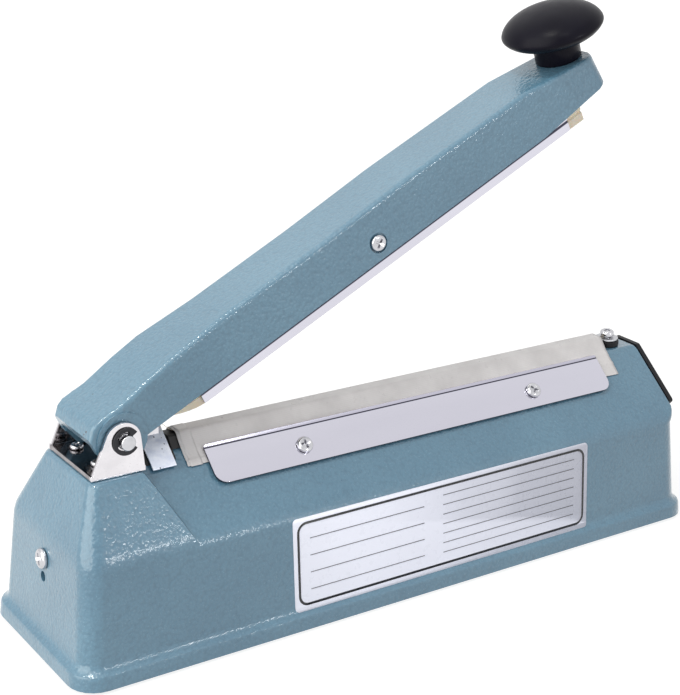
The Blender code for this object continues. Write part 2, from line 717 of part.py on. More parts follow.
def window_outline():
    """Outline of the opening behind the panel."""
    rim = BASE_HEIGHT - WINDOW_TOP
    half = PANEL_LOW_WIDTH / 2 - PANEL_SIDE_RIM
    top, crown, shoulder = panel_shoulder(half, rim)
    side = [(half, WINDOW_BOTTOM, SMALL_CORNER), (half, shoulder, 0), (crown, top, SMALL_CORNER)]
    return rounded([(-u, v, corner) for u, v, corner in reversed(side)] + side, 2)


def panel_place():
    """Frame of the right end wall at the height of the lip's underside."""
    return end_wall_place(0, 1)


def panel_screw_points():
    """Places of the panel's two screws across and up the wall."""
    half = PANEL_LOW_WIDTH / 2 - PANEL_SCREW_INSET
    return [(s * half, PANEL_SCREW_HEIGHT) for s in (-1, 1)]


# Fixed pieces of the base

def build_base_casting(base):
    obj = piece("base_casting", casting_solid(outer_levels()), "hammered paint", base)
    combine(obj, tool("hollow_tool", casting_solid(inner_levels(), WALL), base))

    recess = bmesh.new()
    half_x = BASE_LENGTH / 2 - PLATE_RIM
    half_y = BASE_WIDTH / 2 - PLATE_RIM
    outline = box_outline(-half_x, -half_y, half_x, half_y, LIP_CORNER - PLATE_RIM)
    add_prism(recess, outline, -OVERRUN, LEDGE)
    combine(obj, tool("recess_tool", recess, base))

    posts = bmesh.new()
    for place in corner_places():
        add_cylinder(posts, POST_RADIUS, -LEDGE - POST_HEIGHT, -LEDGE, place)
    combine(obj, tool("post_tool", posts, base), "UNION")

    holes = bmesh.new()
    for place in corner_places():
        add_cylinder(holes, FOOT_SCREW_RADIUS + GAP, -FOOT_SCREW_LENGTH - LEDGE, OVERRUN, place, 12)
    for side in (-1, 1):
        for place in clamp_screw_places(side):
            add_cylinder(holes, CLAMP_SCREW_RADIUS + GAP, -CLAMP_SCREW_LENGTH - OVERRUN, OVERRUN, place, 12)
    for place in bracket_screw_places():
        add_cylinder(holes, BRACKET_SCREW_RADIUS + GAP, -BRACKET_SCREW_LENGTH - OVERRUN, OVERRUN, place, 12)
    add_cylinder(holes, ROD_RADIUS + GAP, -WALL - OVERRUN, OVERRUN, top_place(PIVOT.x + ROD_OFFSET), 16)
    terminal = top_place(LEFT_END + TERMINAL_X)
    add_cylinder(holes, TERMINAL_SCREW_RADIUS + GAP, -WALL - OVERRUN, OVERRUN, terminal, 12)
    end = end_wall_place(END_SCREW_HEIGHT, -1)
    add_cylinder(holes, END_SCREW_RADIUS + GAP, -WALL - OVERRUN, OVERRUN, end, 16)
    small = end_wall_place(END_SCREW_HEIGHT - END_HOLE_DROP, -1)
    add_cylinder(holes, END_HOLE_RADIUS, -WALL - OVERRUN, OVERRUN, small, 12)
    for u, v in panel_screw_points():
        place = panel_place() @ Matrix.Translation((u, v, 0))
        add_cylinder(holes, PANEL_SCREW_RADIUS + GAP, -WALL - OVERRUN, OVERRUN, place, 10)
    add_prism(holes, window_outline(), -WALL - OVERRUN, OVERRUN, panel_place())
    combine(obj, tool("hole_tool", holes, base))


def build_bottom_plate(base):
    bm = bmesh.new()
    half_x = BASE_LENGTH / 2 - PLATE_RIM - GAP
    half_y = BASE_WIDTH / 2 - PLATE_RIM - GAP
    outline = box_outline(-half_x, -half_y, half_x, half_y, LIP_CORNER - PLATE_RIM - GAP)
    add_prism(bm, outline, PLATE_RECESS, PLATE_TOP)
    obj = piece("bottom_plate", bm, "zinc", base)
    holes = bmesh.new()
    for place in corner_places():
        add_cylinder(holes, FOOT_SCREW_RADIUS + GAP, -PLATE_TOP - OVERRUN, OVERRUN, place, 12)
    for u, v in frame_screw_points():
        add_cylinder(holes, FRAME_SCREW_RADIUS + GAP, -OVERRUN, PLATE_TOP + OVERRUN, frame_at((u, v, 0)), 12)
    for x in (-VENT_PLACE, VENT_PLACE):
        for i in range(VENT_COUNT):
            y = (i - (VENT_COUNT - 1) / 2) * VENT_PITCH
            slot = box_outline(x - VENT_LENGTH / 2, y - VENT_WIDTH / 2, x + VENT_LENGTH / 2,
                               y + VENT_WIDTH / 2, VENT_WIDTH / 2 - GAP, 3)
            add_prism(holes, slot, -OVERRUN, PLATE_TOP + OVERRUN)
    combine(obj, tool("plate_hole_tool", holes, base))


def build_feet(base):
    bottom = FOOT_PROTRUSION
    top = -PLATE_RECESS + GAP
    seat = bottom - FOOT_SEAT_DEPTH
    hollow = FOOT_SCREW_HEAD_RADIUS + 2 * GAP
    foot = bmesh.new()
    profile = [(FOOT_SCREW_RADIUS + GAP, top), (FOOT_RADIUS, top), (FOOT_RADIUS, bottom - GAP)]
    profile += [(FOOT_RADIUS - GAP, bottom), (hollow, bottom), (hollow, seat), (FOOT_SCREW_RADIUS + GAP, seat)]
    add_turned(foot, profile, Matrix(), 16)
    copies(["foot_" + name for name in CORNERS], foot, "rubber", base, corner_places())

    screw = bmesh.new()
    head = min(FOOT_SCREW_HEAD_HEIGHT, FOOT_SEAT_DEPTH - 2 * GAP)
    seated = Matrix.Translation((0, 0, seat + GAP))
    add_screw(screw, seated, FOOT_SCREW_RADIUS, FOOT_SCREW_LENGTH, FOOT_SCREW_HEAD_RADIUS, head, 12)
    copies(["foot_screw_" + name for name in CORNERS], screw, "steel", base, corner_places())


def build_end_screw(base):
    bm = bmesh.new()
    place = end_wall_place(END_SCREW_HEIGHT, -1) @ Matrix.Translation((0, 0, GAP))
    add_screw(bm, place, END_SCREW_RADIUS, END_SCREW_LENGTH, END_SCREW_HEAD_RADIUS, END_SCREW_HEAD_HEIGHT)
    piece("end_screw", bm, "chrome", base)


# Hinge

def ear_outline():
    """Side view of an ear about the pin: slanted edges from the base sheet to a round top."""
    left = LEFT_END + BRACKET_START - PIVOT.x
    right = left + BRACKET_LENGTH
    low = BASE_HEIGHT + GAP - PIVOT_HEIGHT
    near = right + EAR_SHIFT
    far = left + EAR_SHIFT
    start = atan2(low, near) + acos(EAR_RADIUS / hypot(near, low))
    stop = atan2(low, far) + 2 * pi - acos(EAR_RADIUS / hypot(far, low))
    steps = 14
    arc = [start + (stop - start) * i / steps for i in range(steps + 1)]
    top = [(EAR_RADIUS * cos(a) - EAR_SHIFT, EAR_RADIUS * sin(a)) for a in arc]
    return [(left, low), (right, low)] + top


def build_bracket(base):
    bm = bmesh.new()
    x = LEFT_END + BRACKET_START
    low = BASE_HEIGHT + GAP
    half = BRACKET_WIDTH / 2
    add_prism(bm, box_outline(x, -half, x + BRACKET_LENGTH, half), low, low + BRACKET_SHEET)
    obj = piece("hinge_bracket", bm, "chrome", base)
    ears = bmesh.new()
    across = frame_at(PIVOT, (0, -1, 0))
    for side in (-1, 1):
        faces = sorted((side * half, side * (half - BRACKET_SHEET)))
        add_prism(ears, ear_outline(), faces[0], faces[1], across)
    combine(obj, tool("ear_tool", ears, base), "UNION")
    holes = bmesh.new()
    add_cylinder(holes, PIN_RADIUS + GAP, -half - OVERRUN, half + OVERRUN, across, 24)
    for place in bracket_screw_places():
        add_cylinder(holes, BRACKET_SCREW_RADIUS + GAP, -OVERRUN, GAP + BRACKET_SHEET + OVERRUN, place, 12)
    combine(obj, tool("bracket_hole_tool", holes, base))

    screw = bmesh.new()
    seated = Matrix.Translation((0, 0, 2 * GAP + BRACKET_SHEET))
    add_screw(screw, seated, BRACKET_SCREW_RADIUS, BRACKET_SCREW_LENGTH + BRACKET_SHEET,
              BRACKET_SCREW_HEAD_RADIUS, BRACKET_SCREW_HEAD_HEIGHT, 12)
    copies(["bracket_screw_" + name for name in SIDES], screw, "chrome", base, bracket_screw_places())


def build_pin(hinge):
    bm = bmesh.new()
    half = BRACKET_WIDTH / 2
    groove = half + GAP + RING_GROOVE
    end = half + PIN_END
    neck = PIN_RADIUS - RING_GROOVE_DEPTH
    side = [(PIN_RADIUS, half + GAP / 2), (neck, half + GAP / 2), (neck, groove)]
    side += [(PIN_RADIUS, groove), (PIN_RADIUS, end - GAP), (PIN_RADIUS - GAP, end), (0, end)]
    profile = [(radius, -height) for radius, height in reversed(side)] + side
    place = frame_at((0, 0, 0), (0, 1, 0))
    add_turned(bm, profile, place, 20)
    piece("hinge_pin", bm, "chrome", hinge)

    ring = bmesh.new()
    steps = 24
    sweep = [RING_MOUTH / 2 + (2 * pi - RING_MOUTH) * i / steps for i in range(steps + 1)]
    prongs = (0, 1, 2, steps // 2 - 1, steps // 2, steps // 2 + 1, steps - 2, steps - 1, steps)
    inner = [neck + GAP if i in prongs else RING_BAND_INNER for i in range(steps + 1)]
    outline = [(RING_OUTER * cos(a), RING_OUTER * sin(a)) for a in sweep]
    outline += [(r * cos(a), r * sin(a)) for a, r in reversed(list(zip(sweep, inner)))]
    add_prism(ring, outline, half + GAP, half + RING_GROOVE)
    ends = [frame_at((0, 0, 0), (0, side, 0)) for side in (-1, 1)]
    copies(["retaining_ring_" + name for name in SIDES], ring, "black ring", hinge, ends)


def spring_points():
    """Centre line of the return spring about the pin, from its foot on the bracket to the arm's roof."""
    roof = arm_top(SPRING_ARM_REACH) - ARM_WALL - GAP - SPRING_END
    reach = hypot(SPRING_ARM_REACH, roof)
    lean = atan2(roof, SPRING_ARM_REACH) - asin(SPRING_RADIUS / reach) + OPEN_ANGLE
    stop = pi / 2 + lean
    turn = 2 * pi * SPRING_TURNS + SPRING_BASE_ANGLE - stop
    count = round(turn / (2 * pi) * SPRING_STEPS)
    half = SPRING_TURNS * SPRING_PITCH / 2
    coil = []
    for i in range(count + 1):
        a = SPRING_BASE_ANGLE - turn * i / count
        coil.append(Vector((SPRING_RADIUS * cos(a), half * (2 * i / count - 1), SPRING_RADIUS * sin(a))))
    floor = BASE_HEIGHT + 2 * GAP + BRACKET_SHEET - PIVOT_HEIGHT
    first = coil[0]
    fall = first.z - floor - SPRING_END
    foot = Vector((first.x - fall * tan(pi - SPRING_BASE_ANGLE), first.y, floor + SPRING_END))
    leg = sqrt(reach ** 2 - SPRING_RADIUS ** 2)
    hand = coil[-1] + Vector((cos(lean), 0, sin(lean))) * leg
    lift = Vector((-sin(OPEN_ANGLE), 0, cos(OPEN_ANGLE))) * SPRING_END
    return [foot - Vector((0, 0, SPRING_END)), foot] + coil + [hand, hand + lift]


def add_tube(bm, points, radius, sides=6):
    """Round wire along points."""
    loops = []
    count = len(points)
    normal = Vector((0, 1, 0))
    for i, point in enumerate(points):
        ahead = points[min(i + 1, count - 1)] - points[max(i - 1, 0)]
        ahead.normalize()
        across = (normal - ahead * normal.dot(ahead)).normalized()
        up = ahead.cross(across)
        ring = [2 * pi * k / sides for k in range(sides)]
        loops.append([point + across * radius * cos(a) + up * radius * sin(a) for a in ring])
    add_loft(bm, loops)


def build_spring(hinge):
    bm = bmesh.new()
    points = spring_points()
    add_tube(bm, points, SPRING_WIRE / 2, 8)
    apart = SPRING_STEPS // 2
    pairs = [(points[i] - points[j]).length for i in range(len(points)) for j in range(i + apart, len(points))]
    print("return spring: least gap between turns", round(min(pairs) - SPRING_WIRE, 5))
    piece("return_spring", bm, "steel", hinge)


# Arm and what it carries

def arm_top(s):
    """Height of the arm's top above the pin line at a place along it."""
    seat = ARM_TOP * ARM_SEAT_RISE_SHARE
    if s >= KNOB_SEAT_START:
        return seat - (s - KNOB_SEAT_START) * tan(KNOB_SEAT_TILT)
    places = [-ARM_TAIL + share * ARM_SPAN for share in ARM_ALONG_SHARES] + [KNOB_SEAT_START]
    rises = [ARM_TOP * share for share in ARM_RISE_SHARES] + [seat]
    for i in range(len(places) - 1):
        if s <= places[i + 1]:
            share = (s - places[i]) / (places[i + 1] - places[i])
            return rises[i] + (rises[i + 1] - rises[i]) * share
    return seat


def arm_half(s):
    """Half width of the arm at a place along it, round towards its tip."""
    past = s - (ARM_TIP - ARM_TIP_RADIUS)
    if past <= 0:
        return ARM_WIDTH / 2
    return ARM_WIDTH / 2 - ARM_TIP_RADIUS + sqrt(max(0, ARM_TIP_RADIUS ** 2 - past ** 2))


def arm_bottom(s):
    """Height of the arm's lower edge, which rises at the tail and at the nose."""
    start = ARM_TIP - ARM_NOSE_LENGTH
    if s < 0:
        return -ARM_BOTTOM * min(1, (s + ARM_TAIL) / (ARM_TAIL - ARM_BOTTOM))
    if s <= start:
        return -ARM_BOTTOM
    share = (s - start) / ARM_NOSE_LENGTH
    return -ARM_BOTTOM * (1 - ARM_NOSE_RISE_SHARE * share ** ARM_NOSE_CURVE_SHARE)


def arm_lean(s):
    """How far the sides lean in at the arm's top: upright at the hinge, drafted further on."""
    share = (s - ARM_LEAN_START) / (ARM_LEAN_END - ARM_LEAN_START)
    return ARM_LEAN * min(1, max(0, share))


def arm_face(s, height):
    """Distance of the arm's side from its middle at a place along it and a height."""
    share = (height + ARM_BOTTOM) / (arm_top(s) + ARM_BOTTOM)
    return arm_half(s) - arm_lean(s) * share


def arm_loop(s, drawn_in=0.0, low=None):
    """Cross section of the arm at a place along it."""
    half = arm_half(s) - drawn_in
    narrow = half - arm_lean(s)
    top = arm_top(s) - drawn_in
    bottom = arm_bottom(s) if low is None else low
    radius = max(ARM_EDGE_RADIUS - drawn_in, SMALL_CORNER)
    steps = 4
    side = [(half, bottom)]
    for i in range(steps + 1):
        a = pi / 2 * i / steps
        side.append((narrow - radius * (1 - cos(a)), top - radius * (1 - sin(a))))
    loop = side + [(-y, z) for y, z in reversed(side)]
    return [Vector((s, y, z)) for y, z in loop]


def arm_stations():
    """Places along the arm where its section is drawn."""
    places = [-ARM_TAIL + share * ARM_SPAN for share in ARM_ALONG_SHARES]
    places.append(KNOB_SEAT_START)
    places.append(ARM_TIP - ARM_TIP_RADIUS)
    places += [ARM_TIP - ARM_TIP_RADIUS * (1 - sin(pi / 8 * i)) for i in (1, 2, 3)]
    places.append(ARM_TIP - GAP)
    return places


def lobe_outline():
    """Side view of the round lobe about the pin with the corner that stops the open arm."""
    stop = -pi / 2 - OPEN_ANGLE - STOP_ANGLE
    tail = (-ARM_TAIL + GAP, 0)
    corner = (STOP_RADIUS * cos(stop), STOP_RADIUS * sin(stop))
    start = stop + acos(LOBE_RADIUS / STOP_RADIUS)
    end = pi - acos(LOBE_RADIUS / ARM_TAIL)
    steps = 16
    outline = [tail, corner]
    for i in range(steps + 1):
        a = start + (end - start) * i / steps
        outline.append((LOBE_RADIUS * cos(a), LOBE_RADIUS * sin(a)))
    return outline


def build_arm_casting(arm):
    bm = bmesh.new()
    add_loft(bm, [arm_loop(s) for s in arm_stations()])
    obj = piece("arm_casting", bm, "hammered paint", arm)

    channel = bmesh.new()
    inside = [-ARM_TAIL - OVERRUN] + arm_stations()[1:-4]
    low = -ARM_BOTTOM - OVERRUN
    loops = [arm_loop(s, ARM_WALL, low) for s in inside]
    narrowing = arm_half(ARM_TIP - ARM_TIP_RADIUS) - arm_half(ARM_TIP - ARM_WALL / 2)
    last = arm_loop(ARM_TIP - ARM_WALL, ARM_WALL + narrowing, low)
    loops.append([Vector((p.x, p.y, min(p.z + narrowing, loops[-1][i].z))) for i, p in enumerate(last)])
    add_loft(channel, loops)
    combine(obj, tool("channel_tool", channel, arm))

    lobes = bmesh.new()
    half = ARM_WIDTH / 2
    place = frame_at((0, 0, 0), (0, -1, 0))
    for side in (-1, 1):
        low = side * (half - ARM_WALL - BOSS_PROUD)
        high = side * (half + BOSS_PROUD)
        add_prism(lobes, lobe_outline(), min(low, high), max(low, high), place)
    roof = arm_top(FINGER_END) - ARM_WALL / 2
    finger = box_outline(FINGER_START, -FINGER_BOTTOM, FINGER_END, roof)
    add_prism(lobes, finger, -FINGER_WIDTH / 2, FINGER_WIDTH / 2, place)
    combine(obj, tool("lobe_tool", lobes, arm), "UNION")

    holes = bmesh.new()
    reach = half + OVERRUN
    add_cylinder(holes, PIN_RADIUS + GAP, -reach, reach, place, 24)
    pivot = frame_at((PRESS_PIVOT_ALONG, 0, PRESS_PIVOT_HEIGHT), (0, -1, 0))
    bore = PRESS_SCREW_RADIUS + GAP
    seat = press_seat()
    profile = [(0, -reach), (PRESS_NUT_SEAT_RADIUS, -reach), (PRESS_NUT_SEAT_RADIUS, -seat), (bore, -seat)]
    profile += [(bore, seat), (PRESS_SCREW_SEAT_RADIUS, seat), (PRESS_SCREW_SEAT_RADIUS, reach), (0, reach)]
    add_turned(holes, profile, pivot)
    add_cylinder(holes, KNOB_SCREW_RADIUS + GAP, -ARM_WALL - OVERRUN, OVERRUN, knob_place(), 16)
    combine(obj, tool("arm_hole_tool", holes, arm))


def press_seat():
    """Distance from the middle of the two round seats cut in the arm's sides for the press bar's screw."""
    return arm_face(PRESS_PIVOT_ALONG, PRESS_PIVOT_HEIGHT) - PRESS_SCREW_SEAT_DEPTH


def knob_place():
    """Frame of the knob's seat on the arm."""
    normal = (sin(KNOB_SEAT_TILT), 0, cos(KNOB_SEAT_TILT))
    return frame_at((KNOB_ALONG, 0, arm_top(KNOB_ALONG)), normal)


def knob_profile():
    """Half section of the mushroom knob, from its bore round the stem and cap to the crown."""
    bore = KNOB_SCREW_RADIUS + GAP
    depth = KNOB_SCREW_LENGTH
    out_share, up_share = KNOB_UNDERSIDE_SHARES
    fall = KNOB_RIM_HEIGHT - STEM_HEIGHT
    profile = [(0, depth), (bore, depth), (bore, GAP), (STEM_RADIUS, GAP), (STEM_RADIUS, STEM_HEIGHT - STEM_FLARE)]
    profile += [(STEM_RADIUS + STEM_FLARE, STEM_HEIGHT), (KNOB_RADIUS * out_share, STEM_HEIGHT + fall * up_share)]
    profile += [(KNOB_RADIUS - GAP, KNOB_RIM_HEIGHT), (KNOB_RADIUS, KNOB_RIM_HEIGHT + GAP)]
    rim = KNOB_RIM_HEIGHT + KNOB_RIM_THICKNESS
    steps = 9
    low = sin(KNOB_CROWN_START)
    for i in range(steps):
        a = KNOB_CROWN_START + (pi / 2 - KNOB_CROWN_START) * i / steps
        rise = (KNOB_HEIGHT - rim) * (sin(a) - low) / (1 - low)
        profile.append((KNOB_RADIUS * cos(a) / cos(KNOB_CROWN_START), rim + rise))
    profile.append((0, KNOB_HEIGHT))
    return profile


def build_knob(arm):
    bm = bmesh.new()
    add_turned(bm, knob_profile(), Matrix(), 48)
    knob = piece("press_knob", bm, "knob plastic", arm)
    knob.matrix_local = knob_place()

    screw = bmesh.new()
    flip = Matrix.Translation((0, 0, -ARM_WALL - GAP)) @ Matrix.Rotation(pi, 4, "X")
    length = ARM_WALL + KNOB_SCREW_LENGTH - GAP
    add_screw(screw, flip, KNOB_SCREW_RADIUS, length, KNOB_SCREW_HEAD_RADIUS, KNOB_SCREW_HEAD_HEIGHT)
    obj = piece("knob_screw", screw, "steel", arm)
    obj.matrix_local = knob_place()


def build_press_screw(arm):
    place = frame_at((PRESS_PIVOT_ALONG, 0, PRESS_PIVOT_HEIGHT), (0, -1, 0))
    seat = press_seat() + GAP
    bm = bmesh.new()
    length = 2 * seat + PRESS_NUT_HEIGHT + GAP
    add_screw(bm, place @ Matrix.Translation((0, 0, seat)), PRESS_SCREW_RADIUS, length,
              PRESS_SCREW_HEAD_RADIUS, PRESS_SCREW_HEAD_HEIGHT, 20)
    piece("press_pivot_screw", bm, "chrome", arm)
    nut = bmesh.new()
    back = place @ Matrix.Rotation(pi, 4, "X")
    add_hexagon(nut, PRESS_NUT_RADIUS, seat, seat + PRESS_NUT_HEIGHT, back, PRESS_SCREW_RADIUS + GAP)
    piece("press_pivot_nut", nut, "chrome", arm)


def holder_section():
    """Cross section of the press bar holder: a channel open below."""
    half = HOLDER_WIDTH / 2
    low = HOLDER_LOW
    high = low + HOLDER_DEPTH
    inner = half - HOLDER_SHEET
    roof = high - HOLDER_SHEET
    return [(-half, low), (-inner, low), (-inner, roof), (inner, roof), (inner, low), (half, low),
            (half, high), (-half, high)]


def build_press_bar(press):
    start = HOLDER_START - PRESS_PIVOT_ALONG
    end = HOLDER_END - PRESS_PIVOT_ALONG
    along = frame_at((0, 0, 0), (1, 0, 0), (0, 1, 0))
    bm = bmesh.new()
    add_prism(bm, holder_section(), start, end, along)
    holder = piece("press_bar_holder", bm, "polished steel", press)
    lugs = bmesh.new()
    roof = HOLDER_LOW + HOLDER_DEPTH - HOLDER_SHEET / 2
    across = frame_at((0, 0, 0), (0, -1, 0))
    half = HOLDER_WIDTH / 2
    corners = [(-LUG_LENGTH / 2, roof, 0), (LUG_LENGTH / 2, roof, 0)]
    corner = LUG_CROWN * LUG_CORNER_SHARE
    corners += [(LUG_CROWN, LUG_CROWN, corner), (-LUG_CROWN, LUG_CROWN, corner)]
    for side in (-1, 1):
        low = side * (half - GAP)
        high = side * (half - GAP - HOLDER_SHEET)
        add_prism(lugs, rounded(corners), min(low, high), max(low, high), across)
    combine(holder, tool("lug_tool", lugs, press), "UNION")
    hole = bmesh.new()
    add_cylinder(hole, PRESS_SCREW_RADIUS + GAP, -HOLDER_WIDTH, HOLDER_WIDTH, across, 16)
    combine(holder, tool("lug_hole_tool", hole, press))

    strip = bmesh.new()
    width = HOLDER_WIDTH / 2 - HOLDER_SHEET - GAP
    low = SILICONE_LOW
    high = HOLDER_LOW + HOLDER_DEPTH - HOLDER_SHEET - GAP
    groove = SILICONE_GROOVE / 2
    middle = HOLDER_LOW + HOLDER_DEPTH / 2
    section = [(-width, low), (width, low), (width, middle - groove), (width - groove, middle)]
    section += [(width, middle + groove), (width, high), (-width, high), (-width, middle + groove)]
    section += [(groove - width, middle), (-width, middle - groove)]
    first = start - SILICONE_BEFORE
    last = end + SILICONE_AFTER
    loops = []
    for x in (first, start - SILICONE_BEFORE * SILICONE_TAPER_SHARE, start, end, last):
        share = max(0, (start - x) / SILICONE_BEFORE)
        loop = [Vector((x, y, z + (high - z) * share * share * SILICONE_TAPER_RISE_SHARE)) for y, z in section]
        loops.append(loop)
    add_loft(strip, loops)
    piece("silicone_strip", strip, "silicone", press)


# Sealing platform, ribbon, cloth and clamp plates

def slope_z(y, lift=0.0):
    """Height of the ridge's slope at a distance from the middle, lifted square to it."""
    return BASE_HEIGHT - (y - RIDGE_HALF) * tan(SLOPE_ANGLE) + lift / cos(SLOPE_ANGLE)


def ridge_section(reach, lift, top):
    """Half line over the ridge: flat middle, then down the slope to a reach."""
    knee = RIDGE_HALF + (lift / cos(SLOPE_ANGLE) - (top - BASE_HEIGHT)) / tan(SLOPE_ANGLE)
    return [(knee, top), (reach, slope_z(reach, lift))]


def saddle(inner, outer, start, end, bm):
    """Sheet over the ridge between two half lines that run outwards and down."""
    mirrored = [(-y, z) for y, z in reversed(inner)]
    outline = mirrored + inner + list(reversed(outer)) + [(-y, z) for y, z in outer]
    along = frame_at((LEFT_END, 0, 0), (1, 0, 0), (0, 1, 0))
    add_prism(bm, outline, start, end, along)


def platform_lean():
    """Angle of the platform's sides, down from level."""
    return atan2(PLATFORM_RISE, (PLATFORM_WIDTH - PLATFORM_TOP_WIDTH) / 2)


def round_edge(out, up):
    """Half line over the platform's round top edge, drawn out square to it and lifted at the top."""
    lean = platform_lean()
    radius = PLATFORM_EDGE_RADIUS
    middle = PLATFORM_TOP_WIDTH / 2 - radius * tan(lean / 2)
    top = BASE_HEIGHT + GAP + PLATFORM_RISE
    steps = 4
    line = []
    for i in range(steps + 1):
        a = lean * i / steps
        line.append((middle + (radius + out) * sin(a), top - radius + (radius + out) * cos(a) + up * (1 - i / steps)))
    return line


def build_platform(base):
    half = round_edge(0, 0) + [(PLATFORM_WIDTH / 2, BASE_HEIGHT + GAP)]
    bm = bmesh.new()
    outline = half + [(-y, z) for y, z in reversed(half)]
    along = frame_at((LEFT_END, 0, 0), (1, 0, 0), (0, 1, 0))
    add_prism(bm, outline, PLATFORM_START, PLATFORM_END, along)
    piece("seal_platform", bm, "black plastic", base)


def cloth_line(lift, reach):
    """Half line of the cloth's surface over the platform's edge, down its side and down the slope."""
    lean = platform_lean()
    shift = GAP + lift
    side = PLATFORM_WIDTH / 2 * sin(lean) + (BASE_HEIGHT + GAP) * cos(lean) + shift
    slope = RIDGE_HALF * sin(SLOPE_ANGLE) + BASE_HEIGHT * cos(SLOPE_ANGLE) + shift
    turn = sin(lean - SLOPE_ANGLE)
    fold_y = (side * cos(SLOPE_ANGLE) - slope * cos(lean)) / turn
    fold_z = (slope * sin(lean) - side * sin(SLOPE_ANGLE)) / turn
    tail_y = RIDGE_HALF + reach * cos(SLOPE_ANGLE) + shift * sin(SLOPE_ANGLE)
    return round_edge(shift, RIBBON_THICKNESS + GAP) + [(fold_y, fold_z), (tail_y, slope_z(tail_y, shift))]


def build_cloth(base):
    bm = bmesh.new()
    loops = []
    for along, reach in ((CLOTH_START, CLOTH_LEFT_REACH), (CLOTH_END, CLOTH_RIGHT_REACH)):
        inner = cloth_line(0, reach)
        outer = cloth_line(CLOTH_THICKNESS, reach)
        line = [(-y, z) for y, z in reversed(inner)] + inner
        line += list(reversed(outer)) + [(-y, z) for y, z in outer]
        loops.append([Vector((LEFT_END + along, y, z)) for y, z in line])
    add_loft(bm, loops)
    obj = piece("release_cloth", bm, "cloth", base)
    holes = bmesh.new()
    for side in (-1, 1):
        place = clamp_screw_places(side)[-1]
        add_cylinder(holes, CLAMP_SCREW_RADIUS + GAP, -OVERRUN, CLAMP_LIFT + OVERRUN, place, 16)
    combine(obj, tool("cloth_hole_tool", holes, base))


def bridge_apex(lift):
    """Height of a gable's top edge that stands a lift off the slopes."""
    return slope_z(0, lift)


def gable(reach, lift, thickness, start, end, bm):
    """Folded sheet over the ridge whose two leaves lie along the slopes."""
    inner = [(0, bridge_apex(lift)), (reach, slope_z(reach, lift))]
    foot_y = reach + thickness * sin(SLOPE_ANGLE)
    outer = [(0, bridge_apex(lift + thickness)), (foot_y, slope_z(foot_y, lift + thickness))]
    outline = [(-y, z) for y, z in reversed(inner)] + inner[1:]
    outline += list(reversed(outer)) + [(-y, z) for y, z in outer[1:]]
    along = frame_at((LEFT_END, 0, 0), (1, 0, 0), (0, 1, 0))
    add_prism(bm, outline, start, end, along)


def build_bridge(base):
    bm = bmesh.new()
    end = BRIDGE_START + BRIDGE_WIDTH
    gable(BRIDGE_REACH, BRIDGE_LIFT, BRIDGE_SHEET, BRIDGE_START, end, bm)
    piece("tension_bridge", bm, "zinc", base)

    sheet = bmesh.new()
    inner = ridge_section(PAD_SHEET_REACH, GAP, BASE_HEIGHT + GAP)
    top = BASE_HEIGHT + GAP + PAD_SHEET_THICKNESS
    outer = ridge_section(PAD_SHEET_REACH, GAP + PAD_SHEET_THICKNESS, top)
    saddle(inner, outer, PAD_SHEET_START, PLATFORM_START - GAP, sheet)
    piece("bridge_insulator", sheet, "black plastic", base)


def ribbon_anchor_top():
    return bridge_apex(BRIDGE_LIFT + BRIDGE_SHEET) + GAP


def build_ribbon(base):
    """Ribbon along the platform, up to the bridge at its left end and down to the right terminal."""
    top = SEALING_TOP + GAP
    apex = ribbon_anchor_top()
    start = BRIDGE_START + BRIDGE_WIDTH / 4
    lead = BRIDGE_START + BRIDGE_WIDTH + GAP
    landing = PLATFORM_START + BRIDGE_WIDTH / 3
    low = BASE_HEIGHT + BUSH_HEIGHT + WASHER_THICKNESS + 3 * GAP
    line = [(start, apex), (lead, apex), (landing, top), (PLATFORM_END + GAP, top)]
    line += [(TERMINAL_X - WASHER_RADIUS - GAP, low), (TERMINAL_X - TERMINAL_SCREW_RADIUS - 2 * GAP, low)]
    outline = line + [(s, z + RIBBON_THICKNESS) for s, z in reversed(line)]
    across = frame_at((LEFT_END, 0, 0), (0, -1, 0))
    bm = bmesh.new()
    add_prism(bm, outline, -RIBBON_WIDTH / 2, RIBBON_WIDTH / 2, across)
    piece("heating_ribbon", bm, "ribbon", base)

    anchor = bmesh.new()
    middle = BRIDGE_START + BRIDGE_WIDTH / 2
    floor = apex + RIBBON_THICKNESS + GAP
    half = ANCHOR_WIDTH / 2
    foot = slope_z(half, BRIDGE_LIFT + BRIDGE_SHEET + GAP)
    edge = RIBBON_WIDTH / 2 + GAP
    roof = floor + ANCHOR_HEIGHT / 2
    outline = [(-half, foot), (-edge, slope_z(edge, BRIDGE_LIFT + BRIDGE_SHEET + GAP)), (-edge, floor)]
    outline += [(edge, floor), (edge, slope_z(edge, BRIDGE_LIFT + BRIDGE_SHEET + GAP)), (half, foot)]
    outline += [(half, roof - GAP), (half - GAP, roof), (GAP - half, roof), (-half, roof - GAP)]
    along = frame_at((LEFT_END, 0, 0), (1, 0, 0), (0, 1, 0))
    add_prism(anchor, outline, middle - ANCHOR_LENGTH / 2, middle + ANCHOR_LENGTH / 2, along)
    piece("ribbon_anchor", anchor, "steel", base)


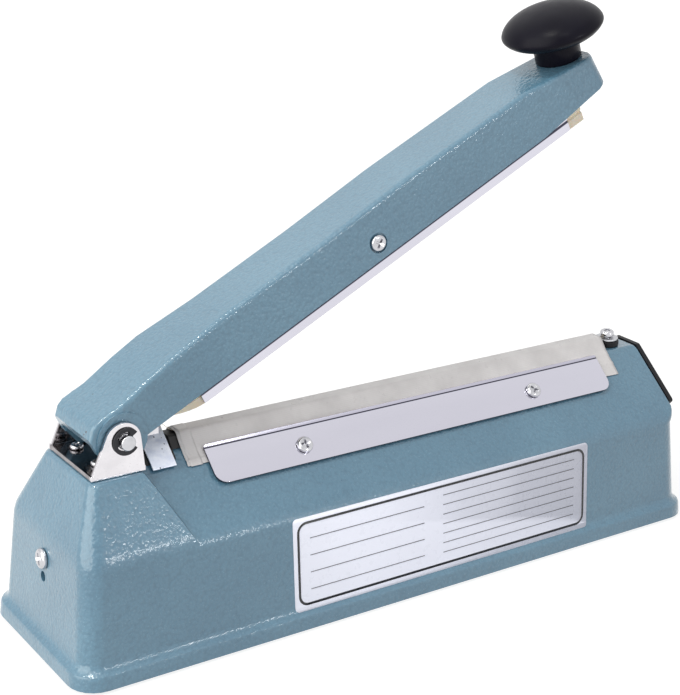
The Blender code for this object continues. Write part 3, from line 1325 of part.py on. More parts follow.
def build_right_terminal(base):
    place = top_place(LEFT_END + TERMINAL_X)
    bore = TERMINAL_SCREW_RADIUS + GAP
    bush = bmesh.new()
    profile = [(bore, GAP), (BUSH_RADIUS, GAP), (BUSH_RADIUS, BUSH_HEIGHT)]
    profile += [(BUSH_RADIUS - GAP, GAP + BUSH_HEIGHT), (bore, GAP + BUSH_HEIGHT)]
    add_turned(bush, profile, place)
    piece("terminal_bush", bush, "black plastic", base)
    low = 2 * GAP + BUSH_HEIGHT
    washer = bmesh.new()
    add_ring(washer, bore, WASHER_RADIUS, low, low + WASHER_THICKNESS, place)
    piece("terminal_washer", washer, "zinc", base)
    screw = bmesh.new()
    head = low + WASHER_THICKNESS + RIBBON_THICKNESS + 2 * GAP
    add_screw(screw, place @ Matrix.Translation((0, 0, head)), TERMINAL_SCREW_RADIUS,
              head + TERMINAL_SCREW_LENGTH, TERMINAL_SCREW_HEAD_RADIUS, TERMINAL_SCREW_HEAD_HEIGHT, 20)
    piece("terminal_screw", screw, "chrome", base)
    nut = bmesh.new()
    under = -WALL - GAP
    add_hexagon(nut, TERMINAL_NUT_RADIUS, under - TERMINAL_NUT_HEIGHT, under, place, bore)
    piece("terminal_nut", nut, "steel", base)


def clamp_section():
    """Cross section of a clamp plate: flat, with a low lip along its top."""
    top = CLAMP_TOP_DROP
    lower = [(top + CLAMP_WIDTH, 0), (top + CLAMP_LIP_WIDTH, 0), (top, CLAMP_LIP_RISE)]
    upper = [(drop, lift + CLAMP_SHEET) for drop, lift in reversed(lower)]
    return lower + upper


def build_clamp(name, side, base):
    bm = bmesh.new()
    place = slope_place(CLAMP_START + CLAMP_LENGTH / 2, 0, side) @ Matrix.Translation((0, 0, CLAMP_LIFT))
    along = place @ frame_at((0, 0, 0), (1, 0, 0), (0, -1, 0))
    outline = [(drop, -lift) for drop, lift in clamp_section()]
    add_prism(bm, outline, -CLAMP_LENGTH / 2, CLAMP_LENGTH / 2, along)
    obj = piece(name, bm, "polished steel", base)
    trim = bmesh.new()
    half = CLAMP_LENGTH / 2
    low = -CLAMP_TOP_DROP - CLAMP_WIDTH
    corners = [(-half, low, CLAMP_CORNER), (half, low, CLAMP_CORNER)]
    corners += [(half, -CLAMP_TOP_DROP, SMALL_CORNER), (-half, -CLAMP_TOP_DROP, SMALL_CORNER)]
    add_prism(trim, rounded(corners, 5), -OVERRUN, CLAMP_LIP_RISE + CLAMP_SHEET + OVERRUN, place)
    combine(obj, tool(name + "_outline_tool", trim, base), "INTERSECT")
    holes = bmesh.new()
    for hole in clamp_screw_places(side):
        add_cylinder(holes, CLAMP_SCREW_RADIUS + GAP, -OVERRUN, CLAMP_LIFT + CLAMP_SHEET + OVERRUN, hole, 16)
    combine(obj, tool(name + "_hole_tool", holes, base))

    screw = bmesh.new()
    head = CLAMP_LIFT + CLAMP_SHEET + GAP
    add_screw(screw, Matrix.Translation((0, 0, head)), CLAMP_SCREW_RADIUS, head + CLAMP_SCREW_LENGTH,
              CLAMP_SCREW_HEAD_RADIUS, CLAMP_SCREW_HEAD_HEIGHT, 20)
    names = [name.replace("plate", "screw") + "_" + end for end in ENDS]
    copies(names, screw, "chrome", base, clamp_screw_places(side))


# Control panel and what it carries

def on_panel(v, w=0.0, u=0.0):
    """Frame on the panel's wall at a height up it and a distance out of it."""
    return Matrix.Translation((u, v, w))


def build_panel(panel):
    bm = bmesh.new()
    add_prism(bm, panel_outline(), GAP, GAP + PANEL_THICKNESS)
    obj = piece("control_panel", bm, "black plastic", panel)
    holes = bmesh.new()
    high = GAP + PANEL_THICKNESS + OVERRUN
    for u, v in panel_screw_points():
        add_cylinder(holes, PANEL_SCREW_RADIUS + GAP, -OVERRUN, high, on_panel(v, 0, u), 10)
    add_cylinder(holes, BUSHING_RADIUS + GAP, -OVERRUN, high, on_panel(TIMER_HEIGHT), 24)
    add_cylinder(holes, LAMP_RADIUS + GAP, -OVERRUN, high, on_panel(LAMP_HEIGHT), 20)
    add_cylinder(holes, GLAND_RADIUS + GAP, -OVERRUN, high, on_panel(GLAND_HEIGHT), 24)
    combine(obj, tool("panel_hole_tool", holes, panel))

    screw = bmesh.new()
    seated = Matrix.Translation((0, 0, 2 * GAP + PANEL_THICKNESS))
    add_screw(screw, seated, PANEL_SCREW_RADIUS, 2 * GAP + PANEL_THICKNESS + WALL, PANEL_SCREW_HEAD_RADIUS,
              PANEL_SCREW_HEAD_HEIGHT, 12)
    places = [on_panel(v, 0, u) for u, v in panel_screw_points()]
    copies(["panel_screw_" + name for name in SIDES], screw, "steel", panel, places)


def build_timer(panel):
    face = GAP + PANEL_THICKNESS
    bm = bmesh.new()
    profile = [(0, -POT_DEPTH), (POT_RADIUS, -POT_DEPTH), (POT_RADIUS, 0), (BUSHING_RADIUS, 0)]
    profile += [(BUSHING_RADIUS, face + BUSHING_LENGTH), (0, face + BUSHING_LENGTH)]
    add_turned(bm, profile, on_panel(TIMER_HEIGHT))
    piece("timer_potentiometer", bm, "zinc", panel)
    nut = bmesh.new()
    add_hexagon(nut, SPINDLE_NUT_RADIUS, face + GAP, face + GAP + SPINDLE_NUT_HEIGHT, on_panel(TIMER_HEIGHT),
                BUSHING_RADIUS + GAP)
    piece("timer_nut", nut, "zinc", panel)

    board = bmesh.new()
    back = -POT_DEPTH - GAP
    half = BOARD_WIDTH / 2
    low = TIMER_HEIGHT + BOARD_TOP_RISE - BOARD_DEPTH
    outline = box_outline(-half, low, half, low + BOARD_DEPTH, SMALL_CORNER, 2)
    add_prism(board, outline, back - BOARD_THICKNESS, back)
    deep = back - BOARD_THICKNESS - BOARD_PART_HEIGHT
    blocks = bmesh.new()
    for middle_share, width_share in BOARD_PART_SHARES:
        u = middle_share * half
        w = width_share * half
        block = box_outline(u - w, low + BOARD_DEPTH / 4, u + w, low + 3 * BOARD_DEPTH / 4)
        add_prism(blocks, block, deep, back - BOARD_THICKNESS / 2)
    obj = piece("timer_board", board, "board", panel)
    combine(obj, tool("board_part_tool", blocks, panel), "UNION")


def build_timer_knob(timer):
    """Fluted knob on its skirt, turning about the frame's Z axis."""
    bm = bmesh.new()
    low = BUSHING_LENGTH + GAP
    steps = TIMER_FLUTES * 2
    bottom = low + TIMER_SKIRT_HEIGHT
    top = low + TIMER_KNOB_HEIGHT

    def wave(i, radius):
        a = 2 * pi * i / steps
        r = radius - (TIMER_FLUTE_DEPTH if i % 2 else 0)
        return (r * cos(a), r * sin(a))

    skirt = [(TIMER_SKIRT_RADIUS * cos(2 * pi * i / steps), TIMER_SKIRT_RADIUS * sin(2 * pi * i / steps))
             for i in range(steps)]
    fluted = [wave(i, TIMER_KNOB_RADIUS) for i in range(steps)]
    crown = [(x * TIMER_CROWN_SHARE, y * TIMER_CROWN_SHARE) for x, y in fluted]
    loops = [(skirt, low), (skirt, bottom), (fluted, bottom + GAP), (fluted, top - 3 * GAP), (crown, top)]
    add_loft(bm, [[Vector((x, y, z)) for x, y in line] for line, z in loops])
    piece("timer_knob", bm, "knob plastic", timer)


def build_lamp(panel):
    face = GAP + PANEL_THICKNESS
    lens = bmesh.new()
    rim = face + GAP
    profile = [(0, rim), (LAMP_FLANGE_RADIUS, rim), (LAMP_FLANGE_RADIUS, rim + LAMP_FLANGE_THICKNESS)]
    base = rim + LAMP_FLANGE_THICKNESS
    for i in range(4):
        a = pi / 2 * i / 4
        profile.append((LAMP_RADIUS * cos(a), base + LAMP_DOME * sin(a) + GAP))
    profile.append((0, base + LAMP_DOME + GAP))
    add_turned(lens, profile, on_panel(LAMP_HEIGHT))
    piece("lamp_lens", lens, "red lens", panel)
    body = bmesh.new()
    add_turned(body, [(0, -LAMP_BODY_LENGTH), (LAMP_RADIUS * LAMP_BODY_SHARE, -LAMP_BODY_LENGTH), (LAMP_RADIUS, GAP - WALL),
                      (LAMP_RADIUS, face), (0, face)], on_panel(LAMP_HEIGHT))
    piece("lamp_body", body, "black plastic", panel)


def build_gland(panel):
    face = GAP + PANEL_THICKNESS
    rim = face + GAP
    bm = bmesh.new()
    bore = GLAND_BORE_RADIUS
    nose = rim + GLAND_FLANGE_THICKNESS + GLAND_NOSE
    profile = [(bore, -GLAND_TAIL), (GLAND_RADIUS, -GLAND_TAIL), (GLAND_RADIUS, rim), (GLAND_FLANGE_RADIUS, rim)]
    profile += [(GLAND_FLANGE_RADIUS, rim + GLAND_FLANGE_THICKNESS)]
    profile += [(GLAND_RADIUS, rim + GLAND_FLANGE_THICKNESS), (bore + (GLAND_RADIUS - bore) * GLAND_NOSE_SHARE, nose)]
    profile += [(bore, nose)]
    add_turned(bm, profile, on_panel(GLAND_HEIGHT))
    piece("inlet_gland", bm, "rubber", panel)


# Transformer and switch inside the base

def frame_screw_points():
    """Places of the transformer frame's two screws."""
    x = LEFT_END + CORE_X
    return [(x - FRAME_SCREW_REACH, 0), (x + FRAME_SCREW_REACH, 0)]


def build_transformer(base):
    x = LEFT_END + CORE_X
    floor = PLATE_TOP + GAP
    half = CORE_LENGTH / 2
    depth = CORE_DEPTH / 2
    core_low = floor
    core_high = floor + CORE_HEIGHT
    bm = bmesh.new()
    add_prism(bm, box_outline(x - half, -depth, x + half, depth), core_low, core_high)
    core = piece("transformer_core", bm, "laminations", base)
    windows = bmesh.new()
    wind_low = core_low + CORE_LEG
    wind_high = core_high - CORE_LEG
    across = frame_at((x, 0, 0), (0, -1, 0))
    for side in (-1, 1):
        near = side * CORE_LEG
        far = side * (half - CORE_LEG)
        outline = box_outline(min(near, far), wind_low, max(near, far), wind_high)
        add_prism(windows, outline, -depth - OVERRUN, depth + OVERRUN, across)
    combine(core, tool("window_tool", windows, base))

    winding = bmesh.new()
    outer_x = half - CORE_LEG - GAP
    outer_y = depth + WINDING_OVERHANG
    outline = box_outline(x - outer_x, -outer_y, x + outer_x, outer_y, WINDING_OVERHANG / 2, 3)
    add_prism(winding, outline, wind_low + GAP, wind_high - GAP)
    coil = piece("transformer_winding", winding, "copper", base)
    limb = bmesh.new()
    inner_x = CORE_LEG + GAP
    inner_y = depth + GAP
    add_prism(limb, box_outline(x - inner_x, -inner_y, x + inner_x, inner_y), core_low, core_high)
    combine(coil, tool("limb_tool", limb, base))

    strap = bmesh.new()
    side_x = half + GAP
    out_x = side_x + FRAME_SHEET
    top = core_high + GAP
    tab = out_x + FRAME_TAB
    line = [(-tab, floor), (-side_x, floor), (-side_x, top), (side_x, top), (side_x, floor), (tab, floor)]
    roof = top + FRAME_SHEET
    line += [(tab, floor + FRAME_SHEET), (out_x, floor + FRAME_SHEET), (out_x, roof), (-out_x, roof)]
    line += [(-out_x, floor + FRAME_SHEET), (-tab, floor + FRAME_SHEET)]
    add_prism(strap, line, -CORE_DEPTH / 4, CORE_DEPTH / 4, across)
    frame = piece("transformer_frame", strap, "zinc", base)
    holes = bmesh.new()
    for u, v in frame_screw_points():
        add_cylinder(holes, FRAME_SCREW_RADIUS + GAP, floor - OVERRUN, floor + FRAME_SHEET + OVERRUN,
                     frame_at((u, v, 0)), 12)
    combine(frame, tool("strap_hole_tool", holes, base))
    screw = bmesh.new()
    add_screw(screw, Matrix(), FRAME_SCREW_RADIUS, FRAME_SHEET + PLATE_THICKNESS + 2 * GAP,
              FRAME_SCREW_HEAD_RADIUS, FRAME_SCREW_HEAD_HEIGHT, 12)
    places = [frame_at((u, v, floor + FRAME_SHEET + GAP)) for u, v in frame_screw_points()]
    copies(["transformer_screw_" + end for end in ENDS], screw, "steel", base, places)


def rod_head_height(angle):
    """Height over the pin of the rod's round head just below the arm's finger."""
    return ROD_OFFSET * tan(angle) - (FINGER_BOTTOM + ROD_HEAD_RADIUS + GAP) / cos(angle)


def lever_angle(height):
    """Lever's angle when the rod's round tip is at a height over the lever's pin."""
    stack = LEVER_SHEET + GAP + ROD_RADIUS
    return acos(stack / hypot(height, LEVER_REACH)) - atan2(LEVER_REACH, height)


ROD_TRAVEL = rod_head_height(OPEN_ANGLE) - rod_head_height(CLOSED_ANGLE)
SHELF_Z = END_SCREW_HEIGHT + SWITCH_SHELF_DROP
SWITCH_TOP = SHELF_Z + SWITCH_SHEET + GAP + SWITCH_HEIGHT
LEVER_Z = SWITCH_TOP + LEVER_PIN_RISE
LEVER_X = PIVOT.x + ROD_OFFSET - LEVER_REACH
ROD_TIP = LEVER_REACH * tan(LEVER_REST_ANGLE) + (LEVER_SHEET + GAP + ROD_RADIUS) / cos(LEVER_REST_ANGLE)
LEVER_TRAVEL = LEVER_REST_ANGLE - lever_angle(ROD_TIP - ROD_TRAVEL)


def build_switch_rod(rod):
    """Rod under the arm's finger; the frame is on the rod's axis at the pin's height."""
    head = rod_head_height(OPEN_ANGLE)
    tip = LEVER_Z + ROD_TIP - PIVOT_HEIGHT
    steps = 4
    quarter = [pi / 2 * i / steps for i in range(steps + 1)]
    profile = [(ROD_RADIUS * sin(a), tip - ROD_RADIUS * cos(a)) for a in quarter]
    profile += [(ROD_RADIUS, head - ROD_HEAD_RADIUS / 2), (ROD_HEAD_RADIUS, head - ROD_HEAD_RADIUS / 2)]
    profile += [(ROD_HEAD_RADIUS * cos(a), head + ROD_HEAD_RADIUS * sin(a)) for a in quarter[:-1]]
    profile.append((0, head + ROD_HEAD_RADIUS))
    bm = bmesh.new()
    add_turned(bm, profile, Matrix(), 16)
    piece("switch_rod", bm, "steel", rod)


def build_switch(base):
    wall_x = KNEE_LEFT - KNEE_HEIGHT * WALL_SLOPE + END_SCREW_HEIGHT * WALL_SLOPE + WALL
    reach = LEVER_X + SWITCH_LENGTH
    place = end_wall_place(END_SCREW_HEIGHT, -1)
    inner = -WALL - GAP
    bm = bmesh.new()
    half = SWITCH_SHELF_WIDTH / 2
    up = (SHELF_Z + SWITCH_SHEET - END_SCREW_HEIGHT) / cos(WALL_DRAFT)
    add_prism(bm, box_outline(-half, -half, half, up), inner - SWITCH_SHEET, inner, place)
    bracket = piece("switch_bracket", bm, "zinc", base)
    shelf = bmesh.new()
    start = wall_x + GAP + (SHELF_Z - END_SCREW_HEIGHT) * WALL_SLOPE + SWITCH_SHEET / 2
    add_prism(shelf, box_outline(start, -half, reach, half), SHELF_Z, SHELF_Z + SWITCH_SHEET)
    combine(bracket, tool("shelf_tool", shelf, base), "UNION")
    hole = bmesh.new()
    add_cylinder(hole, END_SCREW_RADIUS + GAP, inner - SWITCH_SHEET - OVERRUN, inner + OVERRUN, place, 12)
    combine(bracket, tool("shelf_hole_tool", hole, base))

    body = bmesh.new()
    low = SHELF_Z + SWITCH_SHEET + GAP
    back = LEVER_X - LEVER_EYE_RADIUS
    width = SWITCH_WIDTH / 2
    add_prism(body, box_outline(back, -width, reach, width, SMALL_CORNER, 2), low, SWITCH_TOP)
    switch = piece("switch_body", body, "black plastic", base)
    ears = bmesh.new()
    gap = LEVER_WIDTH / 2 + GAP
    side_width = (SWITCH_WIDTH - LEVER_WIDTH) / 2 - GAP
    across = frame_at((LEVER_X, 0, LEVER_Z), (0, -1, 0))
    ear_r = LEVER_EYE_RADIUS
    ear_line = [(-ear_r, SWITCH_TOP - LEVER_Z - GAP * 2), (ear_r, SWITCH_TOP - LEVER_Z - GAP * 2), (ear_r, ear_r),
                (-ear_r, ear_r)]
    for side in (-1, 1):
        low_y = side * gap
        high_y = side * (gap + side_width)
        add_prism(ears, ear_line, min(low_y, high_y), max(low_y, high_y), across)
    pin = gap + side_width / 2
    add_cylinder(ears, LEVER_PIN_RADIUS, -pin, pin, across, 12)
    combine(switch, tool("switch_ear_tool", ears, base), "UNION")


def build_switch_lever(lever):
    """Spring lever of the switch; the frame is on its pin, X along the lever."""
    bm = bmesh.new()
    across = frame_at((0, 0, 0), (0, -1, 0))
    bore = LEVER_PIN_RADIUS + GAP
    steps = 12
    half = LEVER_WIDTH / 2
    add_ring(bm, bore, LEVER_EYE_RADIUS, -half, half, across, steps)
    obj = piece("switch_lever", bm, "steel", lever)
    blade = bmesh.new()
    start = (bore + LEVER_EYE_RADIUS) / 2
    outline = [(start, 0), (LEVER_LENGTH, 0), (LEVER_LENGTH, LEVER_SHEET), (start, LEVER_SHEET)]
    add_prism(blade, outline, -half + GAP, half - GAP, across)
    combine(obj, tool("blade_tool", blade, lever), "UNION")


def knob_reach():
    """How far the timer knob reaches to the right of the base's middle."""
    out = GAP + PANEL_THICKNESS + BUSHING_LENGTH + GAP + TIMER_KNOB_HEIGHT
    low = TIMER_HEIGHT - TIMER_KNOB_RADIUS * TIMER_CROWN_SHARE
    return RIGHT_END - LIP_OVERHANG + out * cos(WALL_DRAFT) - low * sin(WALL_DRAFT)


def main():
    """Build the whole sealer."""
    for old in list(bpy.data.objects):
        bpy.data.objects.remove(old, do_unlink=True)
    shift = (BASE_LENGTH / 2 - knob_reach()) / 2
    base = add_frame("base_frame", Matrix.Translation((shift, 0, FOOT_PROTRUSION)))
    hinge = add_frame("hinge_frame", Matrix.Translation(PIVOT), base)
    arm = add_frame("arm_frame", Matrix.Translation(PIVOT) @ Matrix.Rotation(-OPEN_ANGLE, 4, "Y"), base)
    press_place = Matrix.Translation((PRESS_PIVOT_ALONG, 0, PRESS_PIVOT_HEIGHT))
    press = add_frame("press_frame", press_place, arm)
    panel = add_frame("panel_frame", panel_place(), base)
    timer = add_frame("timer_frame", on_panel(TIMER_HEIGHT, GAP + PANEL_THICKNESS), panel)
    rod = add_frame("rod_frame", Matrix.Translation(PIVOT + Vector((ROD_OFFSET, 0, 0))), base)
    lever_place = Matrix.Translation((LEVER_X, 0, LEVER_Z)) @ Matrix.Rotation(-LEVER_REST_ANGLE, 4, "Y")
    lever = add_frame("lever_frame", lever_place, base)

    build_base_casting(base)
    build_bottom_plate(base)
    build_feet(base)
    build_end_screw(base)
    build_bracket(base)
    build_pin(hinge)
    build_spring(hinge)
    build_arm_casting(arm)
    build_knob(arm)
    build_press_screw(arm)
    build_press_bar(press)
    build_platform(base)
    build_cloth(base)
    build_bridge(base)
    build_ribbon(base)
    build_right_terminal(base)
    build_clamp("clamp_plate_front", -1, base)
    build_clamp("clamp_plate_rear", 1, base)
    build_panel(panel)
    build_timer(panel)
    build_timer_knob(timer)
    build_lamp(panel)
    build_gland(panel)
    build_transformer(base)
    build_switch_rod(rod)
    build_switch(base)
    build_switch_lever(lever)


main()
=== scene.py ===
"""Looks of the hand impulse bag sealer: finishes, printed label, cloth, knob, screws and studio."""

from math import cos, exp, pi, radians, sin, tan

import bmesh
import bpy
from mathutils import Matrix, Vector
from mathutils.bvhtree import BVHTree
from mathutils.geometry import tessellate_polygon


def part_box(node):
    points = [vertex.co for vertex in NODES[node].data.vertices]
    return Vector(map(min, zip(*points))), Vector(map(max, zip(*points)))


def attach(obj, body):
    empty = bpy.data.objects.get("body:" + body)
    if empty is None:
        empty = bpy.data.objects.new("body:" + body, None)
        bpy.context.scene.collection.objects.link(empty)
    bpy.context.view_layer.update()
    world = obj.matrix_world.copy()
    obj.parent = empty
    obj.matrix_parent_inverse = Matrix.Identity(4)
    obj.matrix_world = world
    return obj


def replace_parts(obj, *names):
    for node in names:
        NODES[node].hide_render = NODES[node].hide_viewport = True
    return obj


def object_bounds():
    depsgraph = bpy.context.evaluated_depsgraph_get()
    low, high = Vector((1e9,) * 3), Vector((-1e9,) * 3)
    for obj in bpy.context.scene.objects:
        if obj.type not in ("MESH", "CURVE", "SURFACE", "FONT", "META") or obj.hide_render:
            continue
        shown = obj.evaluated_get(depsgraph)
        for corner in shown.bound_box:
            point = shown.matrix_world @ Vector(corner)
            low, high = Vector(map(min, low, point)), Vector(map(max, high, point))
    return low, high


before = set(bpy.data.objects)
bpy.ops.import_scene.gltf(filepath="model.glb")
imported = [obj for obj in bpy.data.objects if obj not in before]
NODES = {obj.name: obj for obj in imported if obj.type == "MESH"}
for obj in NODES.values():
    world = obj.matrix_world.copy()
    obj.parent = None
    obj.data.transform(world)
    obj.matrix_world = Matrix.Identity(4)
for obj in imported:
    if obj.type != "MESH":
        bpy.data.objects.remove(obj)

# Places in the model's frame
HINGE = Vector((-0.132721, 0, 0.0918))
OPEN_ANGLE = radians(26.6)
ARM_ALONG = Vector((cos(OPEN_ANGLE), 0, sin(OPEN_ANGLE)))
ARM_UP = Vector((-sin(OPEN_ANGLE), 0, cos(OPEN_ANGLE)))
LEFT_END = -0.166221
FLOOR_OF_LIP = 0.0015
SLOPE_ANGLE = radians(41.67)
SLOPE_NORMAL = Vector((0, sin(SLOPE_ANGLE), cos(SLOPE_ANGLE)))
END_WALL_DRAFT = radians(4.4)
WALL_NORMAL = Vector((0.997053, 0, 0.076719))
WALL_UP = Vector((-0.076719, 0, 0.997053))
PANEL_FOOT = Vector((0.150779, 0, FLOOR_OF_LIP))
PANEL_FACE = 0.0025
TIMER_CENTRE = Vector((0.149896, 0, 0.045562))
TIMER_KNOB_TOP = 0.0157
CAMERA_PLACE = Vector((-0.390871, -0.54852, 0.34019))

# Angles above which edges stay sharp: on CAD nodes, on the scene's own pieces, and never
NODE_CREASE = radians(33)
PIECE_CREASE = radians(35)
NO_CREASE = radians(181)


def remember_cad_box():
    """The CAD model's box as plain lists, before anything is added."""
    bpy.context.view_layer.update()
    low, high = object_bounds()
    return [list(low), list(high)]


CAD_BOX = remember_cad_box()


def top_climb(node):
    """How far up the front slope a node reaches, measured along the slope."""
    return max(v.co.z * SLOPE_NORMAL.y - abs(v.co.y) * SLOPE_NORMAL.z
               for v in NODES[node].data.vertices)


CLAMP_TOP_CLIMB = top_climb("clamp_plate_front")


# Camera

def make_camera():
    """Camera at the photograph's viewing angle."""
    azimuth, elevation, roll = radians(-34.175), radians(19.802), radians(1.299)
    back = Vector((sin(azimuth) * cos(elevation), -cos(azimuth) * cos(elevation), sin(elevation)))
    right = Vector((cos(azimuth), sin(azimuth), 0))
    up = back.cross(right)
    turned_right = right * cos(roll) + up * sin(roll)
    turned_up = up * cos(roll) - right * sin(roll)
    data = bpy.data.cameras.new("camera")
    data.lens = 85.42
    data.sensor_width = 36
    data.shift_x = -0.00837
    data.shift_y = 0.00587
    data.clip_start = 0.01
    data.clip_end = 50
    camera = bpy.data.objects.new("camera", data)
    bpy.context.scene.collection.objects.link(camera)
    matrix = Matrix((turned_right, turned_up, back)).transposed().to_4x4()
    matrix.translation = CAMERA_PLACE
    camera.matrix_world = matrix
    bpy.context.scene.camera = camera


# Finishes

PAINT_DARK = (0.088, 0.196, 0.288)
PAINT_LIGHT = (0.110, 0.233, 0.332)
# Depth below the hinge, square to the arm, above which the holder's painted shadow line lies
HOLDER_PAINTED_SHADE_FROM = 0.0131
# Ramps that mark lines on a plate run from 0 to 1 over ten millimetres
PER_CENTIMETRE = 100
# Stain of worn metal, as a share of its colour
METAL_STAIN = 0.85
# Where the painted shade between the bracket's ears ends inside, on a scale of 40 mm
BRACKET_INSIDE = [(0.455, 1.0), (0.460, 0.0)]
# Small chips in the paint at the arm's hinge end: place and radius
PAINT_CHIPS = [((-0.1457, -0.0121, 0.0958), 0.0006), ((-0.1461, -0.0110, 0.0944), 0.0004),
               ((-0.1351, 0.0036, 0.1040), 0.0003)]


class Finish:
    """A node material that is built step by step on a Principled shader."""

    def __init__(self, name, colour, roughness=0.5, metallic=0.0):
        self.material = bpy.data.materials.new(name)
        self.material.use_nodes = True
        self.tree = self.material.node_tree
        self.shader = self.tree.nodes["Principled BSDF"]
        self.shader.inputs["Base Color"].default_value = (*colour, 1)
        self.shader.inputs["Roughness"].default_value = roughness
        self.shader.inputs["Metallic"].default_value = metallic
        self.place = self.node("ShaderNodeTexCoord").outputs["Object"]

    def node(self, kind, **settings):
        """New node of a kind with its settings."""
        made = self.tree.nodes.new(kind)
        for key, value in settings.items():
            setattr(made, key, value)
        return made

    def put(self, socket, value):
        """Link an output to a socket, or set the socket's own value."""
        if isinstance(value, bpy.types.NodeSocket):
            self.tree.links.new(value, socket)
        else:
            socket.default_value = value

    def stretched(self, scale):
        """Place with each axis scaled, for brushed and laminated finishes."""
        mapping = self.node("ShaderNodeMapping")
        mapping.inputs["Scale"].default_value = scale
        self.put(mapping.inputs["Vector"], self.place)
        return mapping.outputs["Vector"]

    def noise(self, scale, detail=2.0, rough=0.5, place=None):
        """Grey cloudy noise."""
        made = self.node("ShaderNodeTexNoise")
        self.put(made.inputs["Vector"], place or self.place)
        made.inputs["Scale"].default_value = scale
        made.inputs["Detail"].default_value = detail
        made.inputs["Roughness"].default_value = rough
        return made.outputs["Fac"]

    def cells(self, scale, place=None, feature="SMOOTH_F1"):
        """Distance from the middles of uneven cells."""
        made = self.node("ShaderNodeTexVoronoi", feature=feature)
        self.put(made.inputs["Vector"], place or self.place)
        made.inputs["Scale"].default_value = scale
        return made.outputs["Distance"]

    def waves(self, scale, direction, distortion=0.0):
        """Even stripes across one axis."""
        made = self.node("ShaderNodeTexWave", bands_direction=direction)
        self.put(made.inputs["Vector"], self.place)
        made.inputs["Scale"].default_value = scale
        made.inputs["Distortion"].default_value = distortion
        return made.outputs["Fac"]

    def shifted(self, by):
        """Place moved a little by an uneven amount, so that cells lose their regular outline."""
        scaled = self.node("ShaderNodeVectorMath", operation="SCALE")
        self.put(scaled.inputs[0], self.noise_colour(420))
        scaled.inputs["Scale"].default_value = by
        added = self.node("ShaderNodeVectorMath", operation="ADD")
        self.put(added.inputs[0], self.place)
        self.put(added.inputs[1], scaled.outputs[0])
        return added.outputs[0]

    def noise_colour(self, scale):
        """Noise with three independent channels, to move a place with."""
        made = self.node("ShaderNodeTexNoise")
        self.put(made.inputs["Vector"], self.place)
        made.inputs["Scale"].default_value = scale
        return made.outputs["Color"]

    def on_slope(self, vector, across, up):
        """Size of a vector along a direction that is mirrored between the two slopes."""
        parts = self.node("ShaderNodeSeparateXYZ")
        self.put(parts.inputs[0], vector)
        sideways = self.math("MULTIPLY", self.math("ABSOLUTE", parts.outputs["Y"], 0.0), across)
        return self.math("ADD", sideways, self.math("MULTIPLY", parts.outputs["Z"], up))

    def spot(self, place, radius):
        """One inside a small uneven spot round a place, and zero outside.

        The noise that moves the spot's outline lies round a half, so its middle is moved to match.
        """
        away = self.node("ShaderNodeVectorMath", operation="DISTANCE")
        self.put(away.inputs[0], self.shifted(radius * 0.9))
        away.inputs[1].default_value = [c + radius * 0.45 for c in place]
        share = self.math("DIVIDE", away.outputs["Value"], radius * 2)
        return self.ramp(share, [(0.42, 1.0), (0.5, 0.0)])

    def ramp(self, value, stops):
        """Colours or grey levels along a value, given as (position, colour) pairs."""
        made = self.node("ShaderNodeValToRGB")
        self.put(made.inputs["Fac"], value)
        points = made.color_ramp.elements
        while len(points) < len(stops):
            points.new(0.5)
        for point, (position, colour) in zip(points, stops):
            point.position = position
            point.color = (*colour, 1) if isinstance(colour, tuple) else (colour, colour, colour, 1)
        return made.outputs["Color"]

    def math(self, operation, a, b):
        """Result of a sum on two values or outputs."""
        made = self.node("ShaderNodeMath", operation=operation)
        self.put(made.inputs[0], a)
        self.put(made.inputs[1], b)
        return made.outputs[0]

    def mix(self, share, a, b):
        """Colour between a and b."""
        made = self.node("ShaderNodeMix", data_type="RGBA")
        self.put(made.inputs["Factor"], share)
        self.put(made.inputs["A"], a)
        self.put(made.inputs["B"], b)
        return made.outputs["Result"]

    def bump(self, height, strength, distance, under=None):
        """Normal from a height, on top of another normal where one is given."""
        made = self.node("ShaderNodeBump")
        made.inputs["Strength"].default_value = strength
        made.inputs["Distance"].default_value = distance
        self.put(made.inputs["Height"], height)
        if under is not None:
            self.put(made.inputs["Normal"], under)
        return made.outputs["Normal"]

    def finish(self, colour=None, roughness=None, normal=None):
        """The material, with what varies over its surface linked."""
        for name, value in (("Base Color", colour), ("Roughness", roughness), ("Normal", normal)):
            if value is not None:
                self.put(self.shader.inputs[name], value)
        return self.material


